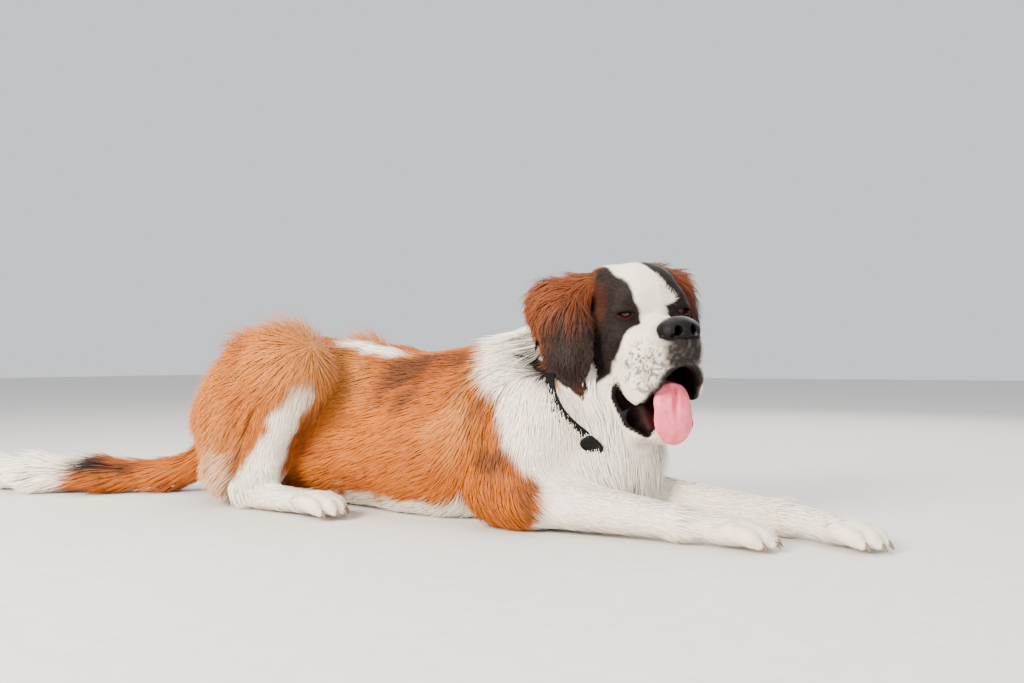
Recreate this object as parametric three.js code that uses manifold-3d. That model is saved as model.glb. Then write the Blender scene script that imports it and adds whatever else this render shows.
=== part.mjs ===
// A saint bernard lying down with its head up and its mouth open, as a life-size still model.
// Millimetres. +X is the way the dog's body points, +Y its left side and +Z up, and the floor is Z = 0.
// The origin is on the floor, under the middle of the chest.
import * as THREE from "three";
import Module from "manifold-3d";

const wasm = await Module();
wasm.setup();

const { abs, min, max, sqrt, sin, cos, PI } = Math;
const RIGHT = -1;
const LEFT = 1;
const SIDES = [RIGHT, LEFT];
const radians = (degrees) => (degrees * PI) / 180;

// Driving dimensions
const GAP = 0.7;
const HEAD_AT = [330, -62, 393];
const HEAD_YAW = -46;
const HEAD_PITCH = 0;
const HEAD_ROLL = 4.5;
const EYE_RADIUS = 16;
const EYE_SPREAD = 50;
const COLLAR_WIDTH = 24;
const COLLAR_DEPTH = 5;

// Distance fields: each is a function of a point, in mm, and is negative inside its form.

// An ellipsoid with radii along the way it is aimed, sideways and upwards.
function ball(centre, radii, aim = [1, 0, 0]) {
  const [cx, cy, cz] = centre;
  const [ra, rb, rc] = radii;
  const f = new THREE.Vector3(...aim).normalize();
  const l = new THREE.Vector3(0, 0, 1).cross(f).normalize();
  const u = f.clone().cross(l);
  return (x, y, z) => {
    const px = x - cx;
    const py = y - cy;
    const pz = z - cz;
    const a = (px * f.x + py * f.y + pz * f.z) / ra;
    const b = (px * l.x + py * l.y + pz * l.z) / rb;
    const c = (px * u.x + py * u.y + pz * u.z) / rc;
    const k0 = sqrt(a * a + b * b + c * c);
    const k1 = sqrt((a * a) / (ra * ra) + (b * b) / (rb * rb) + (c * c) / (rc * rc));
    return k1 < 1e-9 ? -min(ra, rb, rc) : (k0 * (k0 - 1)) / k1;
  };
}

// A tapered limb from a to b, with round ends. wide and tall stretch its section along Y and Z.
function limb(a, b, ra, rb, wide = 1, tall = 1) {
  const dx = b[0] - a[0];
  const dy = b[1] - a[1];
  const dz = b[2] - a[2];
  const long = dx * dx + dy * dy + dz * dz;
  const shrink = min(1, wide, tall);
  return (x, y, z) => {
    const px = x - a[0];
    const py = y - a[1];
    const pz = z - a[2];
    const t = min(1, max(0, (px * dx + py * dy + pz * dz) / long));
    const qx = px - t * dx;
    const qy = (py - t * dy) / wide;
    const qz = (pz - t * dz) / tall;
    return (sqrt(qx * qx + qy * qy + qz * qz) - ra - (rb - ra) * t) * shrink;
  };
}

function softMin(a, b, k) {
  const h = max(k - abs(a - b), 0) / k;
  return min(a, b) - h * h * k * 0.25;
}

// Joins forms, with a fillet about k wide where they meet.
function blend(k, ...forms) {
  return (x, y, z) => {
    let d = forms[0](x, y, z);
    for (let i = 1; i < forms.length; i++) d = softMin(d, forms[i](x, y, z), k);
    return d;
  };
}

// Takes one form out of another, with an edge about k wide.
function carve(k, form, tool) {
  return (x, y, z) => -softMin(-form(x, y, z), tool(x, y, z), k);
}

function grow(form, by) {
  return (x, y, z) => form(x, y, z) - by;
}

function onBothSides(make) {
  return SIDES.map(make);
}

// The trunk, with its coat
const trunk = blend(
  60,
  ball([-55, 0, 158], [300, 165, 160]),
  limb([40, 0, 258], [-120, 0, 240], 84, 68, 1.15),
  limb([175, 0, 92], [-160, 0, 104], 92, 108, 1.35),
  ball([205, -4, 150], [118, 118, 132]),
  ball([-335, 0, 182], [245, 138, 150]),
  limb([-90, 0, 88], [-430, 0, 92], 96, 92, 1.5),
  limb([-235, 0, 268], [-420, 0, 296], 50, 52, 1.3),
  ball([-520, 0, 222], [150, 116, 130]),
  ball([-596, 0, 150], [106, 108, 138]),
);
const shoulders = blend(
  40,
  ball([85, -98, 175], [125, 72, 128], [1, 0, 0.25]),
  ball([105, 98, 170], [125, 72, 124], [1, 0, 0.25]),
);

// The hind legs: each thigh lies folded against the flank, and the knee stands up beside the back.
const HIND = {
  right: { side: RIGHT, hip: [-535, -112, 200], knee: [-385, -178, 284], heel: [-500, -174, 40], toes: [-290, -205, 30] },
  left: { side: LEFT, hip: [-540, 112, 192], knee: [-432, 168, 262], heel: [-540, 170, 40], toes: [-332, 200, 30] },
};

function thighOf(leg) {
  const { side, hip, knee } = leg;
  return blend(
    50,
    limb(hip, knee, 116, 90, 0.9),
    limb([hip[0] - 52, side * 96, 180], [hip[0] - 12, side * 132, 84], 92, 82),
    ball([knee[0] - 85, side * 160, knee[2] - 46], [112, 62, 112]),
  );
}

function shankOf(leg) {
  const { side, knee, heel } = leg;
  const bend = [heel[0] + 42, heel[1] + side * 4, heel[2] + 54];
  return blend(
    30,
    limb([knee[0] - 4, knee[1] + side * 6, knee[2] - 22], bend, 74, 44, 0.82),
    limb([heel[0] + 52, heel[1], heel[2] + 52], heel, 44, 33, 0.85),
  );
}

// A place on a foot: along is towards the toes, across to the left and up from its middle.
function onFoot(at, yaw, along, across, up) {
  const c = cos(radians(yaw));
  const s = sin(radians(yaw));
  return [at[0] + along * c - across * s, at[1] + along * s + across * c, at[2] + up];
}

const TOES = [-1.5, -0.5, 0.5, 1.5].map((i) => ({ across: i * 21.5, reach: abs(i) < 1 ? 6 : -10 }));

// A foot with four toes. at is the middle of the foot and yaw its heading in degrees.
function footOf(at, yaw) {
  const toes = TOES.map(({ across, reach }) =>
    blend(
      6,
      limb(onFoot(at, yaw, reach, across, 4), onFoot(at, yaw, reach + 30, across, -4), 18, 17),
      limb(onFoot(at, yaw, reach + 26, across, -2), onFoot(at, yaw, reach + 42, across, -12), 15, 12),
    ),
  );
  const pad = ball(onFoot(at, yaw, -12, 0, 0), [56, 42, 26], onFoot([0, 0, 0], yaw, 1, 0, 0));
  return blend(6, pad, ...toes);
}

function metatarsusOf(leg) {
  const { side, heel, toes } = leg;
  return limb([heel[0], heel[1], heel[2] - 8], [toes[0] - 40, toes[1] - side * 4, 29], 32, 26);
}

// The forelegs, stretched out in front. The left one reaches across, beyond the right one.
const FORE = {
  right: { shoulder: [120, -118, 190], elbow: [92, -146, 60], wrist: [398, -151, 34], foot: [500, -152, 27], yaw: -1, r: 56 },
  left: { shoulder: [160, 108, 178], elbow: [212, 84, 46], wrist: [548, -24, 34], foot: [662, -74, 27], yaw: -25, r: 51 },
};

function foreLegOf(leg) {
  const { shoulder, elbow, wrist, foot, r } = leg;
  const [x, y, z] = elbow;
  const upperArm = blend(
    40,
    limb(shoulder, [x - 14, y, z + 14], 88, r + 6, 0.85),
    limb([x - 30, y, z + 4], [x + 30, y, z], r + 2, r),
  );
  const forearm = blend(
    20,
    limb([x + 20, y, z - 2], wrist, r - 2, 31, 1.05),
    limb(wrist, [foot[0] - 20, foot[1], foot[2] + 2], 31, 25, 1.12),
  );
  return blend(30, upperArm, forearm);
}

// The neck, with its ruff
const neckCore = blend(
  70,
  limb([30, 0, 205], [166, 34, 328], 136, 92),
  limb([160, 4, 182], [222, 22, 258], 108, 74),
  limb([205, -8, 118], [180, 0, 186], 117, 106),
);

const wholeBody = blend(
  34,
  blend(46, trunk, shoulders, neckCore),
  ...[HIND.right, HIND.left].map((leg) => blend(24, thighOf(leg), shankOf(leg), metatarsusOf(leg))),
  foreLegOf(FORE.right),
  foreLegOf(FORE.left),
);

// The tail, along the floor
const TAIL = [
  { at: [-625, 0, 150], r: 56 },
  { at: [-712, -6, 94], r: 46 },
  { at: [-812, -52, 44], r: 37 },
  { at: [-935, -135, 40], r: 41 },
  { at: [-1080, -190, 40], r: 45 },
  { at: [-1220, -195, 38], r: 38 },
  { at: [-1325, -176, 30], r: 17 },
];
const tailField = blend(30, ...TAIL.slice(1).map((end, i) => limb(TAIL[i].at, end.at, TAIL[i].r, end.r, 1.1)));

// The head is shaped in its own frame: X towards the nose, Y to its left, Z up, and 0 halfway between the eyes.
const headFrame = new THREE.Matrix4()
  .makeTranslation(...HEAD_AT)
  .multiply(new THREE.Matrix4().makeRotationZ(radians(HEAD_YAW)))
  .multiply(new THREE.Matrix4().makeRotationY(radians(-HEAD_PITCH)))
  .multiply(new THREE.Matrix4().makeRotationX(radians(HEAD_ROLL)));

const skull = blend(
  26,
  ball([-84, 0, 8], [98, 86, 86]),
  ball([-34, 0, 33], [58, 62, 54]),
  ball([-142, 0, 0], [58, 74, 72]),
  ...onBothSides((s) => ball([-96, s * 46, 52], [54, 36, 38])),
  ...onBothSides((s) => ball([-66, s * 54, -56], [70, 36, 66])),
  ...onBothSides((s) => ball([-14, s * 40, 17], [30, 28, 19])),
  ...onBothSides((s) => limb([-52, s * 66, -14], [-14, s * 54, -30], 25, 23)),
);
const muzzle = blend(
  20,
  limb([2, 0, -44], [78, 0, -52], 38, 33, 1.05),
  ball([58, 0, -68], [46, 45, 40]),
  ...onBothSides((s) => limb([8, s * 46, -68], [60, s * 29, -76], 28, 29, 0.9, 1.3)),
);
const flews = blend(
  12,
  ...onBothSides((s) =>
    blend(
      14,
      limb([84, s * 13, -82], [60, s * 36, -119], 20, 20, 0.8),
      limb([60, s * 36, -119], [22, s * 52, -136], 20, 24, 0.72, 1.15),
      limb([22, s * 52, -136], [-30, s * 56, -118], 24, 26, 0.6, 1.1),
      limb([4, s * 52, -80], [4, s * 55, -130], 30, 22, 0.7),
    ),
  ),
);
const palate = blend(
  12,
  limb([52, 0, -118], [112, 0, -136], 20, 30, 1.1),
  limb([-50, 0, -110], [52, 0, -118], 24, 25, 1.4),
  ball([30, 0, -150], [70, 41, 50]),
);

function socket(s) {
  return ball([-13, s * (EYE_SPREAD + 3), -4], [28, 25, 21], [0.86, s * 0.5, 0]);
}

function lidSlit(s) {
  const out = [0.86, s * 0.5, 0];
  return blend(
    3,
    ball([4, s * (EYE_SPREAD + 8), -3.5], [20, 14, 5.2], out),
    ball([4, s * (EYE_SPREAD + 10), -6.5], [19, 9, 5.2], out),
  );
}

const upperHead = blend(14, skull, muzzle, flews, ...onBothSides(socket));
const headField = carve(3, carve(9, upperHead, palate), blend(1, ...onBothSides(lidSlit)));

const noseShape = blend(
  8,
  ball([88, 0, -40], [25, 30, 22]),
  ball([80, 0, -32], [26, 28, 17]),
  ...onBothSides((s) => ball([83, s * 23, -42], [22, 14.5, 18])),
  limb([96, 0, -48], [92, 0, -62], 11, 8, 1.4),
);
const nostrils = blend(
  2,
  ...onBothSides((s) => limb([118, s * 13, -38], [90, s * 14, -41], 6, 7.5, 0.95, 1.25)),
  ...onBothSides((s) => limb([104, s * 21, -47], [86, s * 37, -46], 3.2, 2.6, 1, 1.2)),
  limb([121, 0, -32], [111, 0, -66], 3.2, 3.2),
);
const noseField = carve(2.5, noseShape, nostrils);

const jawShape = blend(
  16,
  ...onBothSides((s) => limb([-88, s * 52, -96], [-10, s * 40, -200], 34, 27)),
  ball([0, 0, -212], [38, 42, 30]),
  limb([-80, 0, -124], [-4, 0, -206], 42, 32),
  ...onBothSides((s) => limb([-52, s * 60, -146], [-6, s * 47, -212], 16, 20, 0.8)),
  ...onBothSides((s) => limb([-64, s * 70, -136], [-56, s * 56, -204], 22, 21)),
);
const jawHollow = blend(
  10,
  limb([-56, 0, -104], [26, 0, -180], 32, 23),
  ...onBothSides((s) => limb([-42, s * 42, -132], [4, s * 34, -204], 15, 14)),
  ...onBothSides((s) => limb([-28, s * 54, -146], [-32, s * 48, -202], 20, 17)),
  ...onBothSides((s) => limb([-22, s * 48, -194], [44, s * 46, -184], 14, 24)),
  limb([6, 0, -156], [60, 0, -196], 28, 14, 1.4),
);
const jawField = carve(5, jawShape, jawHollow);

const tongueField = carve(
  5,
  blend(
    14,
    limb([-40, 0, -128], [36, -3, -140], 9, 9, 3.2),
    ball([50, -5, -160], [13, 33, 30]),
    ball([57, -8, -192], [10, 37, 44]),
  ),
  limb([56, -4, -138], [80, -8, -210], 5, 6),
);

// The right ear lies against the side of the neck and the left one hangs. Each has a hollow underneath.
const EARS = {
  right: {
    side: RIGHT,
    root: [-88, -54, 62],
    fold: [-100, -98, 44],
    back: [-114, -148, 24],
    sweep: [0.83, 0.56, 0.1],
    flap: [-74, -142, -46],
    aim: [0.66, 0.75, 0.03],
  },
  left: {
    side: LEFT,
    root: [-86, 54, 68],
    fold: [-100, 94, 42],
    back: [-126, 118, 16],
    sweep: [0.96, -0.28, 0.1],
    flap: [-84, 114, -46],
    aim: [1, -0.3, 0.04],
  },
};

function earOf({ side, root, fold, back, sweep, flap, aim }) {
  const [x, y, z] = flap;
  const leather = blend(
    26,
    limb(root, fold, 27, 28),
    ball(back, [60, 21, 53], sweep),
    ball(flap, [56, 16, 88], aim),
    limb(fold, [x, y, z - 36], 30, 28, 0.6),
  );
  return carve(6, leather, ball([x - side * -3 * aim[1], y - side * 17, z - 16], [42, 12, 70], aim));
}

// Closed meshes from fields, by marching tetrahedra over a box of cells.
const CORNERS = [0, 1, 2, 3, 4, 5, 6, 7].map((i) => [i & 1, (i >> 1) & 1, (i >> 2) & 1]);
const TETRAHEDRA = [
  [0, 1, 3, 7],
  [0, 3, 2, 7],
  [0, 2, 6, 7],
  [0, 6, 4, 7],
  [0, 4, 5, 7],
  [0, 5, 1, 7],
];

function swapsAreOdd(order, base) {
  const at = order.map((v) => base.indexOf(v));
  let swaps = 0;
  for (let i = 0; i < 4; i++) for (let j = i + 1; j < 4; j++) swaps += at[i] > at[j] ? 1 : 0;
  return swaps % 2 === 1;
}

function facesOfCell(corner, values, crossing, faces) {
  for (const tetrahedron of TETRAHEDRA) {
    const t = tetrahedron.map((c) => corner[c]);
    const ins = t.filter((c) => values[c] < 0);
    const outs = t.filter((c) => values[c] >= 0);
    if (!ins.length || !outs.length) continue;
    const odd = swapsAreOdd([...ins, ...outs], t);
    const made = [];
    if (ins.length === 1) made.push(outs.map((o) => crossing(ins[0], o)));
    else if (ins.length === 3) made.push(ins.map((c) => crossing(c, outs[0])));
    else {
      const [a, b] = ins;
      const [c, d] = outs;
      const ring = [crossing(a, c), crossing(a, d), crossing(b, d), crossing(b, c)];
      made.push([ring[0], ring[1], ring[2]], [ring[0], ring[2], ring[3]]);
    }
    for (const f of made) faces.push(odd ? [f[0], f[2], f[1]] : f);
  }
}

function march(field, low, high, cell) {
  const n = low.map((v, i) => Math.ceil((high[i] - v) / cell) + 1);
  const id = (i, j, k) => i + n[0] * (j + n[1] * k);
  const values = new Float64Array(n[0] * n[1] * n[2]);
  for (let k = 0; k < n[2]; k++)
    for (let j = 0; j < n[1]; j++)
      for (let i = 0; i < n[0]; i++) {
        const rim = i === 0 || j === 0 || k === 0 || i === n[0] - 1 || j === n[1] - 1 || k === n[2] - 1;
        const d = field(low[0] + i * cell, low[1] + j * cell, low[2] + k * cell);
        const kept = rim ? max(d, 0.5 * cell) : d;
        values[id(i, j, k)] = abs(kept) < 1e-3 * cell ? 1e-3 * cell : kept;
      }
  const place = (p) => [
    low[0] + (p % n[0]) * cell,
    low[1] + (Math.floor(p / n[0]) % n[1]) * cell,
    low[2] + Math.floor(p / (n[0] * n[1])) * cell,
  ];
  const points = [];
  const known = new Map();
  const crossing = (a, b) => {
    const key = a < b ? a * values.length + b : b * values.length + a;
    if (!known.has(key)) {
      const t = min(0.95, max(0.05, values[a] / (values[a] - values[b])));
      const pa = place(a);
      const pb = place(b);
      known.set(key, points.length);
      points.push([0, 1, 2].map((i) => pa[i] + (pb[i] - pa[i]) * t));
    }
    return known.get(key);
  };
  const faces = [];
  for (let k = 0; k < n[2] - 1; k++)
    for (let j = 0; j < n[1] - 1; j++)
      for (let i = 0; i < n[0] - 1; i++) {
        const corner = CORNERS.map(([x, y, z]) => id(i + x, j + y, k + z));
        let inside = 0;
        for (const c of corner) inside += values[c] < 0 ? 1 : 0;
        if (inside > 0 && inside < 8) facesOfCell(corner, values, crossing, faces);
      }
  return { points, faces };
}

// Fewer triangles for the same surface: the edges that matter least are closed up, cheapest first.
function minus(a, b) {
  return [a[0] - b[0], a[1] - b[1], a[2] - b[2]];
}

function squared(v) {
  return v[0] * v[0] + v[1] * v[1] + v[2] * v[2];
}

function crossed(u, v) {
  return [u[1] * v[2] - u[2] * v[1], u[2] * v[0] - u[0] * v[2], u[0] * v[1] - u[1] * v[0]];
}

function quadric(a, b, c) {
  const n = crossed(minus(b, a), minus(c, a));
  const size = sqrt(squared(n)) || 1e-12;
  const [x, y, z] = n.map((e) => e / size);
  const d = -(x * a[0] + y * a[1] + z * a[2]);
  return [x * x, x * y, x * z, x * d, y * y, y * z, y * d, z * z, z * d, d * d].map((e) => e * size * 0.5);
}

function quadricError(q, [x, y, z]) {
  const squares = q[0] * x * x + q[4] * y * y + q[7] * z * z + q[9];
  return squares + 2 * (q[1] * x * y + q[2] * x * z + q[3] * x + q[5] * y * z + q[6] * y + q[8] * z);
}

function bestPoint(q, a, b) {
  const middle = a.map((e, i) => (e + b[i]) / 2);
  const soft = 1e-3 * (q[0] + q[4] + q[7]);
  const m = new THREE.Matrix3().set(q[0] + soft, q[1], q[2], q[1], q[4] + soft, q[5], q[2], q[5], q[7] + soft);
  if (abs(m.determinant()) < 1e-12) return middle;
  const rest = [q[3], q[6], q[8]].map((e, i) => soft * middle[i] - e);
  return new THREE.Vector3(...rest).applyMatrix3(m.invert()).toArray();
}

function facet(a, b, c) {
  const n = crossed(minus(b, a), minus(c, a));
  const size = sqrt(squared(n));
  const round = squared(minus(b, a)) + squared(minus(c, a)) + squared(minus(c, b));
  return { n: n.map((e) => e / (size || 1)), shape: (3.46 * size) / (round || 1) };
}

const SHORTEST = 0.03;
const GRID = 256;

class Heap {
  constructor() {
    this.items = [];
  }

  push(item) {
    const list = this.items;
    let i = list.push(item) - 1;
    while (i > 0) {
      const up = (i - 1) >> 1;
      if (list[up].cost <= list[i].cost) break;
      [list[up], list[i]] = [list[i], list[up]];
      i = up;
    }
  }

  pop() {
    const list = this.items;
    const top = list[0];
    const last = list.pop();
    if (!list.length) return top;
    list[0] = last;
    let i = 0;
    for (;;) {
      const left = 2 * i + 1;
      const right = left + 1;
      let least = i;
      if (left < list.length && list[left].cost < list[least].cost) least = left;
      if (right < list.length && list[right].cost < list[least].cost) least = right;
      if (least === i) return top;
      [list[least], list[i]] = [list[i], list[least]];
      i = least;
    }
  }
}

// weight makes a part of the surface keep more triangles, and limit is how far a corner may leave the surface.
function thin(mesh, target, weight = () => 1, limit = Infinity) {
  const points = mesh.points.map((p) => [...p]);
  const faces = mesh.faces.map((f) => [...f]);
  const alive = faces.map(() => true);
  const touching = points.map(() => new Set());
  const quadrics = points.map(() => new Array(10).fill(0));
  const stamp = new Uint32Array(points.length);
  faces.forEach((f, i) => {
    const q = quadric(...f.map((v) => points[v]));
    const w = weight(...points[f[0]]);
    for (const v of f) {
      touching[v].add(i);
      for (let e = 0; e < 10; e++) quadrics[v][e] += q[e] * w;
    }
  });
  const around = (v) => {
    const set = new Set();
    for (const i of touching[v]) for (const w of faces[i]) if (w !== v) set.add(w);
    return set;
  };
  const heap = new Heap();
  const offer = (a, b) => {
    const q = quadrics[a].map((e, i) => e + quadrics[b][i]);
    const at = bestPoint(q, points[a], points[b]);
    const length = squared(minus(points[a], points[b]));
    const cost = abs(quadricError(q, at)) + 2e-5 * length * length;
    heap.push({ cost, a, b, at, q, stampA: stamp[a], stampB: stamp[b] });
  };
  const sound = (v, other, at) => {
    for (const i of touching[v]) {
      const f = faces[i];
      if (f.includes(other)) continue;
      const before = facet(...f.map((w) => points[w]));
      const after = facet(...f.map((w) => (w === v ? at : points[w])));
      const turned = before.n[0] * after.n[0] + before.n[1] * after.n[1] + before.n[2] * after.n[2];
      if (turned < 0.3 || after.shape < min(0.12, before.shape * 0.5)) return false;
    }
    return true;
  };
  const near = (v, at) => {
    for (const i of touching[v]) {
      const [p, u, w] = faces[i].map((e) => points[e]);
      const { n } = facet(p, u, w);
      if (abs((at[0] - p[0]) * n[0] + (at[1] - p[1]) * n[1] + (at[2] - p[2]) * n[2]) > limit) return false;
    }
    return true;
  };
  const spread = (q) => 0.3 * (q[0] + q[4] + q[7]);
  for (let v = 0; v < points.length; v++) for (const w of around(v)) if (v < w) offer(v, w);
  let count = faces.length;
  while (count > target && heap.items.length) {
    const { a, b, at, q, stampA, stampB } = heap.pop();
    if (stamp[a] !== stampA || stamp[b] !== stampB || !touching[a].size || !touching[b].size) continue;
    const nearA = around(a);
    const nearB = around(b);
    let shared = 0;
    for (const v of nearA) shared += nearB.has(v) ? 1 : 0;
    if (shared !== 2 || nearA.size + nearB.size > 18) continue;
    const short = squared(minus(points[a], points[b])) < SHORTEST * SHORTEST;
    if (!short && !(sound(a, b, at) && sound(b, a, at))) continue;
    if (!short && limit < Infinity && !(near(a, at) && near(b, at) && quadricError(q, at) < limit * limit * spread(q)))
      continue;
    for (const i of [...touching[b]]) {
      const f = faces[i];
      if (f.includes(a)) {
        alive[i] = false;
        count--;
        for (const v of f) touching[v].delete(i);
      } else {
        f[f.indexOf(b)] = a;
        touching[a].add(i);
      }
    }
    touching[b].clear();
    points[a] = at;
    quadrics[a] = q;
    stamp[a]++;
    stamp[b]++;
    for (const v of around(a)) offer(a, v);
  }
  return { points, faces: faces.filter((f, i) => alive[i]) };
}

// Solids: closed meshes that can be joined and cut.
function solidOf(mesh, frame) {
  const used = new Map();
  const coordinates = [];
  const index = [];
  const p = new THREE.Vector3();
  for (const f of mesh.faces)
    for (const v of f) {
      if (!used.has(v)) {
        used.set(v, used.size);
        p.set(...mesh.points[v]);
        if (frame) p.applyMatrix4(frame);
        coordinates.push(p.x, p.y, p.z);
      }
      index.push(used.get(v));
    }
  const made = new wasm.Mesh({
    numProp: 3,
    vertProperties: new Float32Array(coordinates),
    triVerts: new Uint32Array(index),
  });
  return new wasm.Manifold(made);
}

function largest(solid) {
  const parts = solid.decompose();
  return parts.reduce((best, part) => (part.volume() > best.volume() ? part : best), parts[0]);
}

function meshOf(solid) {
  const made = solid.getMesh();
  const points = [];
  const faces = [];
  for (let i = 0; i < made.vertProperties.length; i += made.numProp)
    points.push([made.vertProperties[i], made.vertProperties[i + 1], made.vertProperties[i + 2]]);
  const same = points.map((p, i) => i);
  if (made.mergeFromVert) made.mergeFromVert.forEach((v, i) => (same[v] = made.mergeToVert[i]));
  for (let i = 0; i < made.triVerts.length; i += 3)
    faces.push([same[made.triVerts[i]], same[made.triVerts[i + 1]], same[made.triVerts[i + 2]]]);
  return { points, faces };
}

function dot(a, b) {
  return a[0] * b[0] + a[1] * b[1] + a[2] * b[2];
}

function unit(v) {
  const size = sqrt(squared(v)) || 1;
  return v.map((e) => e / size);
}

// The way a corner moves so that all the faces round it move out alike, as far as they can.
function wayOut(normals) {
  let way = unit(normals.reduce((sum, n) => sum.map((e, i) => e + n[i]), [0, 0, 0]));
  const worst = () => normals.reduce((a, b) => (dot(a, way) < dot(b, way) ? a : b));
  for (let turn = 0; turn < 10; turn++) {
    const last = worst();
    way = unit(way.map((e, i) => e + last[i] * 0.2));
  }
  const least = max(0.45, dot(worst(), way));
  return way.map((e) => e / least);
}

// A copy of a solid with every face moved outwards.
function swell(solid, by = GAP) {
  const { points, faces } = meshOf(solid);
  const normals = points.map(() => []);
  for (const f of faces) {
    const n = unit(crossed(minus(points[f[1]], points[f[0]]), minus(points[f[2]], points[f[0]])));
    for (const v of f) normals[v].push(n);
  }
  const moved = points.map((p, v) => {
    if (!normals[v].length) return p;
    const way = wayOut(normals[v]);
    return p.map((e, i) => e + way[i] * by);
  });
  return solidOf({ points: moved, faces });
}

function fromGeometry(shape) {
  const position = shape.getAttribute("position");
  const known = new Map();
  const points = [];
  const at = [];
  for (let i = 0; i < position.count; i++) {
    const p = [position.getX(i), position.getY(i), position.getZ(i)];
    const key = p.map((e) => Math.round(e * 1e3)).join(" ");
    if (!known.has(key)) {
      known.set(key, points.length);
      points.push(p);
    }
    at.push(known.get(key));
  }
  const index = shape.getIndex() ? [...shape.getIndex().array] : at.map((e, i) => i);
  const faces = [];
  for (let i = 0; i < index.length; i += 3) {
    const f = [at[index[i]], at[index[i + 1]], at[index[i + 2]]];
    if (new Set(f).size === 3) faces.push(f);
  }
  return solidOf({ points, faces });
}

function block(low, high) {
  const shape = new THREE.BoxGeometry(...high.map((v, i) => v - low[i]));
  shape.translate(...low.map((v, i) => (v + high[i]) / 2));
  return fromGeometry(shape);
}

// Everything past a plane, as a large block with one face on it.
function beyond(point, normal) {
  const size = 4000;
  const shape = new THREE.BoxGeometry(size, size, size);
  shape.translate(size / 2, 0, 0);
  const n = new THREE.Vector3(...normal).normalize();
  shape.applyQuaternion(new THREE.Quaternion().setFromUnitVectors(new THREE.Vector3(1, 0, 0), n));
  shape.translate(...point);
  return fromGeometry(shape);
}

function shaped(field, low, high, cell, triangles, weight, frame) {
  return solidOf(thin(march(field, low, high, cell), triangles, weight), frame);
}

function cut(solid, ...tools) {
  return tools.reduce((left, tool) => left.subtract(tool), solid);
}

const aboveFloor = block([-2000, -1000, 0], [2000, 1000, 1500]);
const solids = {};
const swollen = (...names) => names.map((name) => swell(solids[name], name === "nose" ? 1.2 : GAP));

// The collar: a strap in the coat, found by looking out from the middle of the neck
const COLLAR_AT = new THREE.Vector3(167.5, 0, 238.5);
const COLLAR_SLOPE = radians(22.7);
const COLLAR_FORWARD = 90;
const alongNeck = new THREE.Vector3(cos(COLLAR_SLOPE), 0, sin(COLLAR_SLOPE));
const upNeck = new THREE.Vector3(-sin(COLLAR_SLOPE), 0, cos(COLLAR_SLOPE));

function coatReach(out, from) {
  let reach = 40;
  for (let step = 0; step < 60; step++) {
    const d = wholeBody(from.x + out.x * reach, from.y + out.y * reach, from.z + out.z * reach);
    if (d > -0.2) break;
    reach -= d * 0.7;
  }
  return reach;
}

function outFromNeck(angle) {
  return new THREE.Vector3(0, cos(angle), 0).addScaledVector(upNeck, sin(angle));
}

// The strap swings forward under the throat.
function strapCentre(angle, along) {
  const forward = COLLAR_FORWARD * ((1 - sin(angle)) / 2) ** 5;
  return COLLAR_AT.clone().addScaledVector(alongNeck, along + forward);
}

function strap() {
  const turns = 36;
  const edges = [
    [-1, -1],
    [1, -1],
    [1, 0],
    [-1, 0],
  ];
  const points = [];
  const faces = [];
  for (let i = 0; i < turns; i++) {
    const angle = (2 * PI * i) / turns;
    const out = outFromNeck(angle);
    for (const [along, deep] of edges) {
      const from = strapCentre(angle, (along * COLLAR_WIDTH) / 2);
      const reach = coatReach(out, from) + 0.5 + deep * COLLAR_DEPTH;
      points.push(from.addScaledVector(out, reach).toArray());
    }
  }
  for (let i = 0; i < turns; i++)
    for (let j = 0; j < 4; j++) {
      const a = i * 4 + j;
      const b = i * 4 + ((j + 1) % 4);
      const c = ((i + 1) % turns) * 4 + ((j + 1) % 4);
      const d = ((i + 1) % turns) * 4 + j;
      faces.push([a, b, c], [a, c, d]);
    }
  return solidOf({ points, faces });
}

function tab() {
  const shape = new THREE.BoxGeometry(26, 7, 36, 2, 1, 3);
  shape.rotateY(radians(24));
  shape.rotateX(radians(30));
  shape.rotateZ(radians(-4));
  const angle = PI + radians(39);
  const out = outFromNeck(angle);
  const from = strapCentre(angle, 0);
  const reach = coatReach(out, from) + 5.5;
  shape.translate(...from.addScaledVector(out, reach).toArray());
  return fromGeometry(shape);
}

solids.collar = strap();
solids.collar_tab = cut(tab(), ...swollen("collar"));

// The head and what is in it
const HEAD_LOW = [-215, -125, -185];
const HEAD_HIGH = [130, 125, 115];
const faceFirst = (x) => (x > -30 ? 3 : 1);

function eye(s) {
  const shape = new THREE.IcosahedronGeometry(EYE_RADIUS, 2);
  shape.translate(-12, s * EYE_SPREAD, -4);
  shape.applyMatrix4(headFrame);
  return fromGeometry(shape);
}

function ear(form) {
  const low = [-200, form.side > 0 ? 10 : -215, -175];
  const high = [10, form.side > 0 ? 215 : -10, 110];
  return shaped(earOf(form), low, high, 4.5, 300, undefined, headFrame);
}

solids.eye_right = eye(RIGHT);
solids.eye_left = eye(LEFT);
solids.nose = shaped(noseField, [36, -55, -84], [126, 55, 0], 3, 380, undefined, headFrame);
solids.tongue = shaped(tongueField, [-60, -60, -250], [110, 60, -90], 3.5, 220, undefined, headFrame);
solids.head = cut(
  shaped(headField, HEAD_LOW, HEAD_HIGH, 4.5, 2100, faceFirst, headFrame),
  ...swollen("eye_right", "eye_left", "nose", "tongue", "collar"),
);
solids.lower_jaw = cut(
  shaped(jawField, [-150, -110, -270], [80, 110, -40], 4.5, 600, undefined, headFrame),
  ...swollen("tongue", "head", "collar"),
);
solids.ear_right = cut(ear(EARS.right), ...swollen("head", "lower_jaw", "collar"));
solids.ear_left = cut(ear(EARS.left), ...swollen("head", "lower_jaw", "collar"));

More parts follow.
